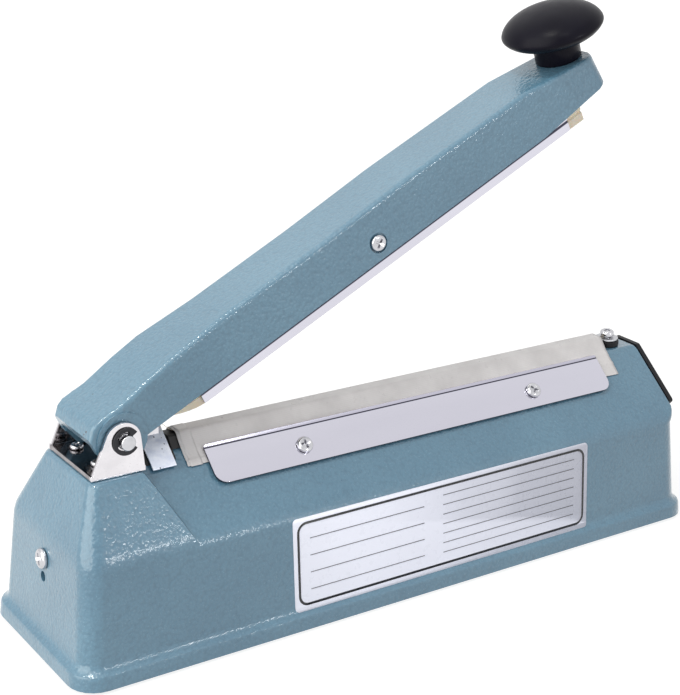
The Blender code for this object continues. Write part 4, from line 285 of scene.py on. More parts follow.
def hammertone():
    """Blue-grey hammered paint: glossy pebbles, darker pits between them and a few chips."""
    f = Finish("hammertone_paint", (0.15, 0.26, 0.37), 0.4)
    pebbles = f.cells(780, f.shifted(0.0009))
    grain = f.noise(1500, 3, 0.6)
    slow = f.noise(26, 3, 0.5)
    height = f.math("ADD", f.math("MULTIPLY", pebbles, -1.0), f.math("MULTIPLY", grain, 0.45))
    cloud = f.ramp(slow, [(0.3, PAINT_DARK), (0.7, PAINT_LIGHT)])
    pit = f.ramp(pebbles, [(0.30, 0.0), (0.80, 1.0)])
    colour = f.mix(f.math("MULTIPLY", pit, 0.38), cloud, (0.052, 0.120, 0.182, 1))
    glints = f.ramp(f.noise(1500, 2, 0.7), [(0.60, 0.0), (0.72, 1.0)])
    colour = f.mix(f.math("MULTIPLY", glints, 0.22), colour, (0.32, 0.50, 0.62, 1))
    for place, size in PAINT_CHIPS:
        colour = f.mix(f.spot(place, size), colour, (0.012, 0.02, 0.03, 1))
    rough = f.ramp(grain, [(0.3, 0.26), (0.7, 0.42)])
    fine = f.bump(height, 0.75, 0.00028)
    wide = f.bump(f.noise(95, 2, 0.5), 0.35, 0.0008, fine)
    f.shader.inputs["Coat Weight"].default_value = 0.85
    f.shader.inputs["Coat Roughness"].default_value = 0.05
    f.put(f.shader.inputs["Coat Normal"], f.bump(height, 0.60, 0.00022))
    return f.finish(colour, rough, wide)


def metal(name, colour, roughness, spread=0.06, scale=140, stretch=(1, 1, 1), bump=0.0):
    """Metal with cloudy wear in its gloss and, where asked, brushing along one axis."""
    f = Finish(name, colour, roughness, 1.0)
    place = f.stretched(stretch)
    wear = f.noise(scale, 4, 0.6, place)
    rough = f.ramp(wear, [(0.3, max(0.02, roughness - spread)), (0.72, roughness + spread)])
    dull = tuple(c * METAL_STAIN for c in colour)
    tone = f.ramp(f.noise(scale * 0.35, 3, 0.55, place), [(0.32, dull), (0.66, colour)])
    normal = f.bump(f.noise(scale * 6, 3, 0.6, place), bump, 0.0001) if bump else None
    return f.finish(tone, rough, normal)


def plate_steel(name, for_clamp):
    """Polished sheet steel, brushed along X.

    The clamp has painted shade on its edge faces and lip and a painted shadow line below the lip,
    the holder a painted shadow line along its side.
    """
    f = Finish(name, (0.66, 0.65, 0.74), 0.16, 1.0)
    place = f.stretched((0.12, 1, 1))
    wear = f.noise(60, 4, 0.6, place)
    rough = f.ramp(wear, [(0.3, 0.11), (0.72, 0.21)])
    clouds = f.noise(22, 3, 0.55, place)
    tone = f.ramp(clouds, [(0.32, (0.60, 0.59, 0.67)), (0.66, (0.67, 0.66, 0.74))])
    if for_clamp:
        # Painted shade: faces that turn away from the slope, the plate's edge faces, are drawn near
        # black
        normal = f.node("ShaderNodeTexCoord").outputs["Normal"]
        facing = f.on_slope(normal, SLOPE_NORMAL.y, SLOPE_NORMAL.z)
        flat = f.ramp(facing, [(0.80, 0.0), (0.92, 1.0)])
        tone = f.mix(flat, (0.10, 0.10, 0.13, 1), tone)
        climb = f.on_slope(f.place, -SLOPE_NORMAL.z, SLOPE_NORMAL.y)
        below_top = f.math("MULTIPLY", f.math("SUBTRACT", CLAMP_TOP_CLIMB, climb), PER_CENTIMETRE)
        # Painted shade: the lip along the clamp's top is drawn darker than the rest of the plate
        lip = f.ramp(below_top, [(0.115, 1.0), (0.125, 0.0)])
        tone = f.mix(lip, tone, (0.46, 0.45, 0.53, 1))
        # Painted shadow: a dark line 1.25 to 1.65 mm below the clamp's top, under the lip
        line = f.ramp(below_top, [(0.105, 0.0), (0.125, 1.0), (0.165, 1.0), (0.185, 0.0)])
    else:
        # Painted shadow: a dark line along the holder's side, just below the arm's lower edge
        height = f.node("ShaderNodeVectorMath", operation="DOT_PRODUCT")
        f.put(height.inputs[0], f.place)
        height.inputs[1].default_value = ARM_UP * PER_CENTIMETRE
        dark_from = (HINGE.dot(ARM_UP) - HOLDER_PAINTED_SHADE_FROM) * PER_CENTIMETRE
        above = f.math("SUBTRACT", height.outputs["Value"], dark_from)
        line = f.ramp(above, [(0.0, 0.0), (0.03, 1.0), (0.13, 1.0), (0.16, 0.0)])
    # Both painted shadow lines, on the clamp and on the holder, are drawn near black
    tone = f.mix(line, tone, (0.05, 0.05, 0.075, 1))
    return f.finish(tone, rough, f.bump(f.noise(360, 3, 0.6, place), 0.05, 0.0001))


def bracket_chrome():
    """Chrome plate with fine wear and a cloudy painted shade between the bracket's ears."""
    f = Finish("bracket_chrome", (0.74, 0.73, 0.76), 0.10, 1.0)
    wear = f.noise(210, 4, 0.6)
    rough = f.ramp(wear, [(0.3, 0.08), (0.72, 0.20)])
    tone = f.ramp(f.noise(75, 3, 0.55), [(0.32, (0.66, 0.64, 0.67)), (0.66, (0.78, 0.76, 0.79))])
    parts = f.node("ShaderNodeSeparateXYZ")
    f.put(parts.inputs[0], f.place)
    across = f.math("ABSOLUTE", parts.outputs["Y"], 0.0)
    # Painted shade: the chrome between the ears is drawn in dark clouds, for the dark it mirrors
    # there
    inside = f.ramp(f.math("MULTIPLY", across, 25), BRACKET_INSIDE)
    painted_shade_tone = f.ramp(f.noise(120, 4, 0.6), [(0.3, (0.17, 0.155, 0.165)), (0.75, (0.42, 0.40, 0.41))])
    specks = f.ramp(f.cells(900, feature="F1"), [(0.10, 1.0), (0.16, 0.0)])
    tone = f.mix(f.math("MULTIPLY", specks, 0.35), tone, (0.25, 0.24, 0.25, 1))
    return f.finish(f.mix(inside, tone, painted_shade_tone), rough, f.bump(wear, 0.05, 0.0001))


def pitted_zinc():
    """Bluish zinc plating with small dark pits and clouds."""
    f = Finish("pitted_zinc", (0.50, 0.55, 0.65), 0.42, 1.0)
    clouds = f.noise(320, 4, 0.65)
    tone = f.ramp(clouds, [(0.3, (0.72, 0.77, 0.90)), (0.7, (0.90, 0.93, 1.0))])
    spots = f.ramp(f.cells(620, feature="F1"), [(0.16, 1.0), (0.26, 0.0)])
    patch = f.ramp(f.noise(160, 2, 0.5), [(0.50, 0.0), (0.54, 1.0)])
    dark = f.math("MULTIPLY", spots, patch)
    colour = f.mix(dark, tone, (0.09, 0.10, 0.13, 1))
    rough = f.ramp(clouds, [(0.3, 0.40), (0.7, 0.60)])
    return f.finish(colour, rough, f.bump(f.noise(900, 3, 0.6), 0.3, 0.0001))


def plastic(name, colour, roughness, grain=900, bump=0.12, coat=0.0, spread=0.08, specular=0.5):
    """Moulded plastic or rubber with a fine grain and slightly uneven gloss."""
    f = Finish(name, colour, roughness)
    light = tuple(min(1, c * 1.3 + 0.002) for c in colour)
    tone = f.ramp(f.noise(60, 3, 0.5), [(0.3, colour), (0.7, light)])
    least = max(0.03, roughness - spread)
    rough = f.ramp(f.noise(210, 4, 0.6), [(0.3, least), (0.7, roughness + spread)])
    f.shader.inputs["Coat Weight"].default_value = coat
    f.shader.inputs["Coat Roughness"].default_value = 0.12
    f.shader.inputs["Specular IOR Level"].default_value = specular
    return f.finish(tone, rough, f.bump(f.noise(grain, 3, 0.6), bump, 0.0001))


def silicone():
    """Beige silicone rubber, slightly translucent, with a fine grain."""
    f = Finish("beige_silicone", (0.93, 0.81, 0.64), 0.5)
    tone = f.ramp(f.noise(190, 3, 0.5), [(0.3, (0.90, 0.77, 0.59)), (0.7, (0.96, 0.87, 0.72))])
    f.shader.inputs["Subsurface Weight"].default_value = 0.30
    f.shader.inputs["Subsurface Radius"].default_value = (0.002, 0.0014, 0.0008)
    return f.finish(tone, None, f.bump(f.noise(1300, 2, 0.6), 0.2, 0.0001))


def release_cloth():
    """Coated glass cloth: pale grey, satin, plain weave with about two threads a millimetre."""
    f = Finish("coated_glass_cloth", (0.78, 0.76, 0.77), 0.36)
    warp = f.waves(640, "X")
    weft = f.waves(640, "Y")
    weave = f.math("MULTIPLY", warp, weft)
    cloud = f.ramp(f.noise(75, 4, 0.6), [(0.3, (0.63, 0.61, 0.62)), (0.7, (0.76, 0.74, 0.75))])
    colour = f.mix(f.math("MULTIPLY", weave, 0.25), cloud, (0.56, 0.52, 0.49, 1))
    rough = f.ramp(f.noise(260, 3, 0.6), [(0.3, 0.26), (0.7, 0.42)])
    fine = f.bump(weave, 0.22, 0.00008)
    f.shader.inputs["Sheen Weight"].default_value = 0.08
    return f.finish(colour, rough, f.bump(f.noise(110, 3, 0.5), 0.35, 0.0005, fine))


def printed_paper(name, colour):
    """Glossy sticker film or the ink on it."""
    f = Finish(name, colour, 0.28)
    shade = tuple(c * 0.975 for c in colour)
    tone = f.ramp(f.noise(45, 3, 0.5), [(0.3, shade), (0.7, colour)])
    rough = f.ramp(f.noise(300, 3, 0.6), [(0.3, 0.26), (0.7, 0.31)])
    return f.finish(tone, rough, f.bump(f.noise(40, 2, 0.5), 0.015, 0.0002))


def lens():
    """Red translucent lens of the indicator lamp."""
    f = Finish("red_lens", (0.70, 0.02, 0.015), 0.12)
    f.shader.inputs["Transmission Weight"].default_value = 0.45
    f.shader.inputs["IOR"].default_value = 1.49
    tone = f.ramp(f.noise(500, 2, 0.5), [(0.3, (0.62, 0.012, 0.01)), (0.7, (0.85, 0.05, 0.03))])
    return f.finish(tone, None, f.bump(f.waves(900, "Z"), 0.15, 0.0001))


def striped(name, dark, light, scale, direction, roughness):
    """Laminations or wire turns: metal with fine stripes across one axis."""
    f = Finish(name, light, roughness, 1.0)
    stripes = f.waves(scale, direction, 0.4)
    tone = f.ramp(stripes, [(0.25, dark), (0.7, light)])
    rough = f.ramp(f.noise(300, 3, 0.6), [(0.3, roughness - 0.08), (0.7, roughness + 0.1)])
    return f.finish(tone, rough, f.bump(stripes, 0.5, 0.0003))


def board():
    """Green circuit board with lighter tracks."""
    f = Finish("circuit_board", (0.03, 0.16, 0.07), 0.4)
    islands = f.cells(260, feature="F1")
    tracks = f.ramp(islands, [(0.30, (0.03, 0.15, 0.06)), (0.36, (0.07, 0.28, 0.12))])
    rough = f.ramp(f.noise(200), [(0.3, 0.32), (0.7, 0.5)])
    return f.finish(tracks, rough, f.bump(f.noise(700), 0.2, 0.0001))


def make_finishes():
    """Every finish of the sealer by name."""
    return {
        "paint": hammertone(),
        "chrome": metal("chrome_plate", (0.74, 0.73, 0.76), 0.10, 0.05, 210, bump=0.04),
        "bracket": bracket_chrome(),
        "bright screw": metal("bright_screw", (0.60, 0.60, 0.63), 0.18, 0.06, 500, bump=0.06),
        "polished": plate_steel("polished_steel", True),
        "holder": plate_steel("holder_steel", False),
        "zinc": metal("zinc_plate", (0.60, 0.61, 0.64), 0.36, 0.08, 260, bump=0.10),
        "pitted zinc": pitted_zinc(),
        "steel": metal("plain_steel", (0.52, 0.52, 0.54), 0.32, 0.08, 300, bump=0.08),
        "spring": metal("spring_steel", (0.46, 0.45, 0.44), 0.28, 0.06, 400, bump=0.05),
        "ribbon": metal("heating_alloy", (0.46, 0.42, 0.36), 0.30, 0.08, 200, (0.2, 1, 1), 0.05),
        "black ring": metal("blackened_steel", (0.045, 0.045, 0.05), 0.34, 0.08, 400, bump=0.05),
        "black plastic": plastic("black_plastic", (0.008, 0.008, 0.010), 0.45, specular=0.22),
        "fibre": plastic("black_fibre", (0.010, 0.010, 0.011), 0.55, 700, 0.25),
        "knob": plastic("black_bakelite", (0.0036, 0.0032, 0.0075), 0.33, 1400, 0.04,
                        spread=0.05, specular=0.09),
        "dial knob": plastic("dial_knob_plastic", (0.016, 0.016, 0.018), 0.34, 900, 0.08, 0.1),
        "rubber": plastic("black_rubber", (0.018, 0.018, 0.018), 0.70, 800, 0.30),
        "silicone": silicone(),
        "cloth": release_cloth(),
        "paper": printed_paper("sticker_film", (0.82, 0.84, 0.97)),
        "ink": printed_paper("sticker_ink", (0.018, 0.018, 0.022)),
        "pale ink": printed_paper("sticker_rule_ink", (0.13, 0.135, 0.16)),
        "white mark": plastic("white_marking", (0.70, 0.70, 0.70), 0.45, 900, 0.05),
        "lens": lens(),
        "board": board(),
        "copper": striped("copper_winding", (0.20, 0.07, 0.02), (0.66, 0.30, 0.13), 330, "Z", 0.32),
        "laminations": striped("core_laminations", (0.05, 0.05, 0.055), (0.26, 0.26, 0.28),
                               320, "Y", 0.45),
    }


NODES_OF_FINISH = {
    "black plastic": ["control_panel", "lamp_body", "switch_body", "terminal_bush"],
    "black ring": ["retaining_ring_front", "retaining_ring_rear"],
    "board": ["timer_board"],
    "bracket": ["hinge_bracket"],
    "bright screw": ["bracket_screw_front", "bracket_screw_rear", "clamp_screw_front_left",
        "clamp_screw_front_right", "clamp_screw_rear_left", "clamp_screw_rear_right", "end_screw",
        "hinge_pin", "press_pivot_screw", "terminal_screw"],
    "chrome": ["ribbon_anchor"],
    "cloth": ["release_cloth"],
    "copper": ["transformer_winding"],
    "dial knob": ["timer_knob"],
    "fibre": ["bridge_insulator", "seal_platform"],
    "holder": ["press_bar_holder"],
    "knob": ["press_knob"],
    "laminations": ["transformer_core"],
    "lens": ["lamp_lens"],
    "paint": ["arm_casting", "base_casting"],
    "pitted zinc": ["tension_bridge"],
    "polished": ["clamp_plate_front", "clamp_plate_rear"],
    "ribbon": ["heating_ribbon"],
    "rubber": ["foot_left_front", "foot_left_rear", "foot_right_front", "foot_right_rear",
        "inlet_gland"],
    "silicone": ["silicone_strip"],
    "spring": ["return_spring"],
    "steel": ["foot_screw_left_front", "foot_screw_left_rear", "foot_screw_right_front",
        "foot_screw_right_rear", "knob_screw", "panel_screw_front", "panel_screw_rear",
        "switch_lever", "switch_rod", "transformer_screw_left", "transformer_screw_right"],
    "zinc": ["bottom_plate", "press_pivot_nut", "switch_bracket", "terminal_nut",
        "terminal_washer", "timer_nut", "timer_potentiometer", "transformer_frame"],
}
FINISH_OF_NODE = {node: finish for finish, nodes in NODES_OF_FINISH.items() for node in nodes}

# Width of the small edge rounding on CAD nodes
EDGE_ROUNDING = {
    "hinge_bracket": 0.00035, "clamp_plate_front": 0.00020, "clamp_plate_rear": 0.00020,
    "tension_bridge": 0.00025, "press_bar_holder": 0.00025, "control_panel": 0.0004,
    "retaining_ring_front": 0.00012, "retaining_ring_rear": 0.00012, "hinge_pin": 0.0002,
    "timer_knob": 0.0003, "timer_nut": 0.0003, "press_pivot_nut": 0.0003, "terminal_bush": 0.0002,
    "terminal_washer": 0.00015, "ribbon_anchor": 0.0002, "seal_platform": 0.0002,
}


def shading_group(name, angle):
    """Geometry nodes that join the facets and shade them smooth below an angle."""
    group = bpy.data.node_groups.new(name, "GeometryNodeTree")
    group.interface.new_socket("Geometry", in_out="INPUT", socket_type="NodeSocketGeometry")
    group.interface.new_socket("Geometry", in_out="OUTPUT", socket_type="NodeSocketGeometry")
    start = group.nodes.new("NodeGroupInput")
    end = group.nodes.new("NodeGroupOutput")
    plain = group.nodes.new("GeometryNodeRemoveAttribute")
    plain.inputs["Name"].default_value = "custom_normal"
    merge = group.nodes.new("GeometryNodeMergeByDistance")
    merge.inputs["Distance"].default_value = 0.000002
    smooth = group.nodes.new("GeometryNodeSetShadeSmooth")
    smooth.domain = "FACE"
    creases = group.nodes.new("GeometryNodeSetShadeSmooth")
    creases.domain = "EDGE"
    edge = group.nodes.new("GeometryNodeInputMeshEdgeAngle")
    below = group.nodes.new("FunctionNodeCompare")
    below.operation = "LESS_THAN"
    below.inputs["B"].default_value = angle
    links = group.links
    links.new(start.outputs[0], plain.inputs["Geometry"])
    links.new(plain.outputs[0], merge.inputs["Geometry"])
    links.new(merge.outputs[0], smooth.inputs["Geometry"])
    links.new(smooth.outputs[0], creases.inputs["Geometry"])
    links.new(edge.outputs["Unsigned Angle"], below.inputs["A"])
    links.new(below.outputs[0], creases.inputs["Shade Smooth"])
    links.new(creases.outputs[0], end.inputs[0])
    return group


def dress_nodes(finishes):
    """Give every CAD node its finish, smooth shading and small edge rounding."""
    creased = shading_group("smooth_below_angle", NODE_CREASE)
    joined = shading_group("smooth_all", NO_CREASE)
    for name, node in NODES.items():
        for slot in node.material_slots:
            slot.material = finishes[FINISH_OF_NODE[name]]
        width = EDGE_ROUNDING.get(name)
        shading = node.modifiers.new("shading", "NODES")
        shading.node_group = joined if width else creased
        if width:
            edges = node.modifiers.new("edges", "BEVEL")
            edges.width = width
            edges.segments = 2
            edges.limit_method = "ANGLE"
            edges.angle_limit = NODE_CREASE
            edges.use_clamp_overlap = True
        if width or name in ("arm_casting", "base_casting"):
            normals = node.modifiers.new("normals", "WEIGHTED_NORMAL")
            normals.keep_sharp = True


# Mesh helpers

def new_piece(name, bm, finish, body):
    """Object from a bmesh in the model's frame, riding on a body where one is given."""
    bmesh.ops.recalc_face_normals(bm, faces=bm.faces)
    mesh = bpy.data.meshes.new(name)
    bm.to_mesh(mesh)
    bm.free()
    mesh.materials.append(finish)
    mesh.shade_smooth()
    mesh.set_sharp_from_angle(angle=PIECE_CREASE)
    obj = bpy.data.objects.new(name, mesh)
    bpy.context.scene.collection.objects.link(obj)
    if body:
        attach(obj, body)
    return obj


def frame_on(origin, normal, along=(1, 0, 0)):
    """Matrix with its Z axis along the normal."""
    z = Vector(normal).normalized()
    y = z.cross(Vector(along)).normalized()
    x = y.cross(z)
    matrix = Matrix((x, y, z)).transposed().to_4x4()
    matrix.translation = Vector(origin)
    return matrix


def add_turned(bm, profile, place, segments):
    """Solid turned round Z from (radius, height) points; a radius of 0 closes it."""
    rings = []
    for radius, height in profile:
        count = segments if radius > 0 else 1
        turns = [2 * pi * i / segments for i in range(count)]
        rings.append([bm.verts.new(place @ Vector((radius * cos(a), radius * sin(a), height)))
                      for a in turns])
    pairs = list(zip(rings, rings[1:]))
    if len(rings[0]) > 1:
        pairs.append((rings[-1], rings[0]))
    for low, high in pairs:
        for i in range(segments):
            j = (i + 1) % segments
            corners = [low[i % len(low)], low[j % len(low)],
                       high[j % len(high)], high[i % len(high)]]
            bm.faces.new(list(dict.fromkeys(corners)))


def add_loft(bm, loops):
    """Closed solid through loops of as many points each."""
    rings = [[bm.verts.new(point) for point in loop] for loop in loops]
    count = len(rings[0])
    for low, high in zip(rings, rings[1:]):
        for i in range(count):
            j = (i + 1) % count
            bm.faces.new((low[i], low[j], high[j], high[i]))
    bm.faces.new(list(reversed(rings[0])))
    bm.faces.new(rings[-1])


def rounded_box(low_u, low_v, high_u, high_v, radius, steps=8):
    """Outline of a rectangle with round corners."""
    centres = [(high_u - radius, low_v + radius, -pi / 2), (high_u - radius, high_v - radius, 0),
               (low_u + radius, high_v - radius, pi / 2), (low_u + radius, low_v + radius, pi)]
    turns = [pi / 2 * i / steps for i in range(steps + 1)]
    return [(u + radius * cos(start + turn), v + radius * sin(start + turn))
            for u, v, start in centres for turn in turns]


def tree_of(node):
    """Search tree of a CAD node's surface."""
    mesh = NODES[node].data
    return BVHTree.FromPolygons([v.co for v in mesh.vertices], [p.vertices for p in mesh.polygons])


def cut(obj, cutter):
    """Boolean difference, applied, with the cutter removed."""
    modifier = obj.modifiers.new("cut", "BOOLEAN")
    modifier.object = cutter
    modifier.solver = "EXACT"
    graph = bpy.context.evaluated_depsgraph_get()
    mesh = bpy.data.meshes.new_from_object(obj.evaluated_get(graph))
    obj.modifiers.clear()
    old = obj.data
    obj.data = mesh
    bpy.data.meshes.remove(old)
    bpy.data.objects.remove(cutter, do_unlink=True)
    mesh.shade_smooth()
    mesh.set_sharp_from_angle(angle=PIECE_CREASE)


# Screws

def measured_head(node, axis):
    """Middle of a fastener's top, its head radius and its length along the axis."""
    axis = Vector(axis).normalized()
    points = [v.co for v in NODES[node].data.vertices]
    low, high = min(p.dot(axis) for p in points), max(p.dot(axis) for p in points)
    flat = [p - axis * p.dot(axis) for p in points]
    around = frame_on((0, 0, 0), axis)
    local = [around.inverted() @ p for p in flat]
    centre = Vector(((min(p.x for p in local) + max(p.x for p in local)) / 2,
                     (min(p.y for p in local) + max(p.y for p in local)) / 2, 0))
    radius = (max(p.x for p in local) - min(p.x for p in local)) / 2
    return around @ centre + axis * high, radius, high - low


def recess_tool(radius, depth):
    """Cross that is cut into a screw head whose top is at height 0."""
    width, reach = radius * 0.145, radius * 0.60
    outline = []
    for k in range(4):
        c, s = cos(k * pi / 2), sin(k * pi / 2)
        for u, v in ((reach, -width), (reach, width), (width, width)):
            outline.append((c * u - s * v, s * u + c * v))
    loops = [[Vector((x * share, y * share, z)) for x, y in outline]
             for share, z in ((0.45, -depth), (1.0, 0.0), (1.06, depth * 0.4))]
    bm = bmesh.new()
    add_loft(bm, loops)
    return new_piece("recess_tool", bm, None, None)


def screw_mesh(name, radius, height, length, finish):
    """Pan head with a recess on a short shank, its top at the origin."""
    shank, crown, steps = radius * 0.5, 0.62, 6
    profile = [(0, -length), (shank, -length), (shank, -height), (radius * 0.97, -height),
               (radius, -height * 0.92), (radius, -height * crown)]
    for i in range(1, steps + 1):
        a = pi / 2 * i / steps
        profile.append((radius * (crown + (1 - crown) * cos(a)), -height * crown * (1 - sin(a))))
    profile.append((0, 0))
    bm = bmesh.new()
    add_turned(bm, profile, Matrix(), 40)
    obj = new_piece(name, bm, finish, None)
    cut(obj, recess_tool(radius, height * 0.8))
    mesh = obj.data
    bpy.data.objects.remove(obj, do_unlink=True)
    return mesh


def build_screws(finishes):
    """Detailed heads in place of the plain CAD screws."""
    down = (0, 0, -1)
    front = (0, -SLOPE_NORMAL.y, SLOPE_NORMAL.z)
    rear = SLOPE_NORMAL
    end = (-cos(END_WALL_DRAFT), 0, sin(END_WALL_DRAFT))
    # Kind, (node, outward axis, turn of the recess in degrees), head height, finish, body
    rows = [
        ("clamp", [("clamp_screw_front_left", front, 20), ("clamp_screw_front_right", front, 65),
                   ("clamp_screw_rear_left", rear, 35), ("clamp_screw_rear_right", rear, 10)],
         0.0018, "bright screw", "base"),
        ("bracket", [("bracket_screw_front", (0, 0, 1), 15), ("bracket_screw_rear", (0, 0, 1), 50)],
         0.0016, "bright screw", "base"),
        ("end", [("end_screw", end, 35)], 0.0020, "bright screw", "base"),
        ("pivot", [("press_pivot_screw", (0, -1, 0), 30)], 0.0018, "bright screw", "arm"),
        ("terminal", [("terminal_screw", (0, 0, 1), 20)], 0.0026, "bright screw", "base"),
        ("panel", [("panel_screw_front", WALL_NORMAL, 20), ("panel_screw_rear", WALL_NORMAL, 70)],
         0.0014, "steel", "base"),
        ("foot", [("foot_screw_left_front", down, 10), ("foot_screw_left_rear", down, 40),
                  ("foot_screw_right_front", down, 75), ("foot_screw_right_rear", down, 25)],
         0.0006, "steel", "base"),
    ]
    for kind, screws, height, finish, body in rows:
        mesh = None
        for node, axis, turn in screws:
            top, radius, length = measured_head(node, axis)
            if mesh is None:
                mesh = screw_mesh(kind + "_screw_head", radius, height, length, finishes[finish])
            obj = bpy.data.objects.new(node + "_detailed", mesh)
            bpy.context.scene.collection.objects.link(obj)
            spin = Matrix.Rotation(radians(turn), 4, "Z")
            obj.matrix_world = frame_on(top, axis, (0.3, 1, 0.2)) @ spin
            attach(obj, body)
            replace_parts(obj, node)


# Knob

def build_knob(finishes):
    """Mushroom knob with a lens-shaped crown, a thin turned rim and a waisted stem."""
    lean = OPEN_ANGLE - radians(7.5)
    normal = Vector((-sin(lean), 0, cos(lean)))
    place = frame_on(HINGE + ARM_ALONG * 0.2564 + ARM_UP * 0.0129, normal)
    mm = 0.001
    # Stem and the crown's underside, as (radius, height) in millimetres
    profile = [(0, 0.3), (10.0, 0.3), (10.2, 0.6), (10.2, 7.4), (10.5, 8.4), (11.6, 9.1),
               (13.6, 9.4), (16.0, 9.8), (18.2, 10.5), (20.0, 11.5), (21.4, 12.7), (22.2, 13.7),
               (22.45, 14.3), (22.5, 14.8)]
    rim_radius, rim_height, rise = 22.45, 15.2, 9.5
    start, steps = radians(9), 18
    for i in range(steps + 1):
        a = start + (pi / 2 - start) * i / steps
        radius = rim_radius * cos(a) / cos(start) if i < steps else 0
        profile.append((radius, rim_height + rise * (sin(a) - sin(start)) / (1 - sin(start))))
    bm = bmesh.new()
    add_turned(bm, [(r * mm, z * mm) for r, z in profile], place, 96)
    knob = new_piece("knob_turned", bm, finishes["knob"], "arm")
    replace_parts(knob, "press_knob")


# Return spring

SPRING_RADIUS = 0.0052
SPRING_HALF_WIDTH = 0.0054
SPRING_WIRE = 0.0007
SPRING_START = radians(225)
SPRING_TURN = radians(1538.5)
# How far the leg runs along the coil, inside its wire
SPRING_OVERLAP = radians(45)
LEG_WIRE = 0.00069


def add_tube(bm, points, radius, sides=12):
    """Round wire along points, with its ends closed."""
    loops = []
    side = (points[1] - points[0]).normalized().orthogonal()
    for i, point in enumerate(points):
        along = (points[min(i + 1, len(points) - 1)] - points[max(i - 1, 0)]).normalized()
        side = (side - along * side.dot(along)).normalized()
        other = along.cross(side)
        turns = [2 * pi * k / sides for k in range(sides)]
        loops.append([point + (side * cos(a) + other * sin(a)) * radius for a in turns])
    add_loft(bm, loops)


def coil(start, end, count):
    """Points of the spring's coil between two angles."""
    points = []
    for i in range(count + 1):
        a = start + (end - start) * i / count
        y = SPRING_HALF_WIDTH * (2 * (SPRING_START - a) / SPRING_TURN - 1)
        points.append(HINGE + Vector((SPRING_RADIUS * cos(a), y, SPRING_RADIUS * sin(a))))
    return points


def build_spring(finishes):
    """Torsion spring round the pin: coil and foot stay on the base, the leg turns with the arm."""
    last = SPRING_START - SPRING_TURN
    foot = [HINGE + Vector((x, -SPRING_HALF_WIDTH, z))
            for x, z in ((0.002546, -0.0116), (0.002546, -0.0103), (0.0022, -0.0095))]
    hand = [HINGE + Vector((x, SPRING_HALF_WIDTH, z))
            for x, z in ((0.0118, 0.01518), (0.0122, 0.01590), (0.011567, 0.017101))]
    rows = [("return_spring_coil", foot + coil(SPRING_START, last, 150), SPRING_WIRE, "base"),
            ("return_spring_leg", coil(last + SPRING_OVERLAP, last, 6) + hand, LEG_WIRE, "arm")]
    for name, points, wire, body in rows:
        bm = bmesh.new()
        add_tube(bm, points, wire)
        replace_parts(new_piece(name, bm, finishes["spring"], body), "return_spring")


# Silicone strip

def build_silicone(finishes):
    """Silicone strip with side grooves, a round sealing face and a tapered tongue on its left."""
    origin = Vector((-0.014023, 0, 0.152917))
    half, low, high = 0.0045, -0.01967, -0.01227
    middle, groove, edge = -0.01452, 0.0008, 0.0006
    crown, shoulder, steps = 0.0003, 0.0007, 8
    section = []
    for i in range(steps + 1):
        a = pi * i / steps
        section.append((-half + edge + (half - edge) * 2 * i / steps, low + crown * (1 - sin(a))))
    section += [(half, low + shoulder), (half, middle - groove), (half - groove, middle),
                (half, middle + groove), (half, high), (-half, high), (-half, middle + groove),
                (groove - half, middle), (-half, middle - groove), (-half, low + shoulder)]
    loops = []
    tongue_from, tongue = -0.0945, 0.0155
    for x in (-0.1100, -0.1080, -0.1050, -0.1015, -0.0980, tongue_from, -0.08, 0.0, 0.08, 0.113,
              0.1224):
        thinned = 0.80 * (max(0, (tongue_from - x) / tongue)) ** 1.6
        along = origin + ARM_ALONG * x
        loops.append([along + Vector((0, y, 0)) + ARM_UP * (z + (high - z) * thinned)
                      for y, z in section])
    bm = bmesh.new()
    add_loft(bm, loops)
    strip = new_piece("silicone_strip_moulded", bm, finishes["silicone"], "press_bar")
    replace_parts(strip, "silicone_strip")


# Release cloth

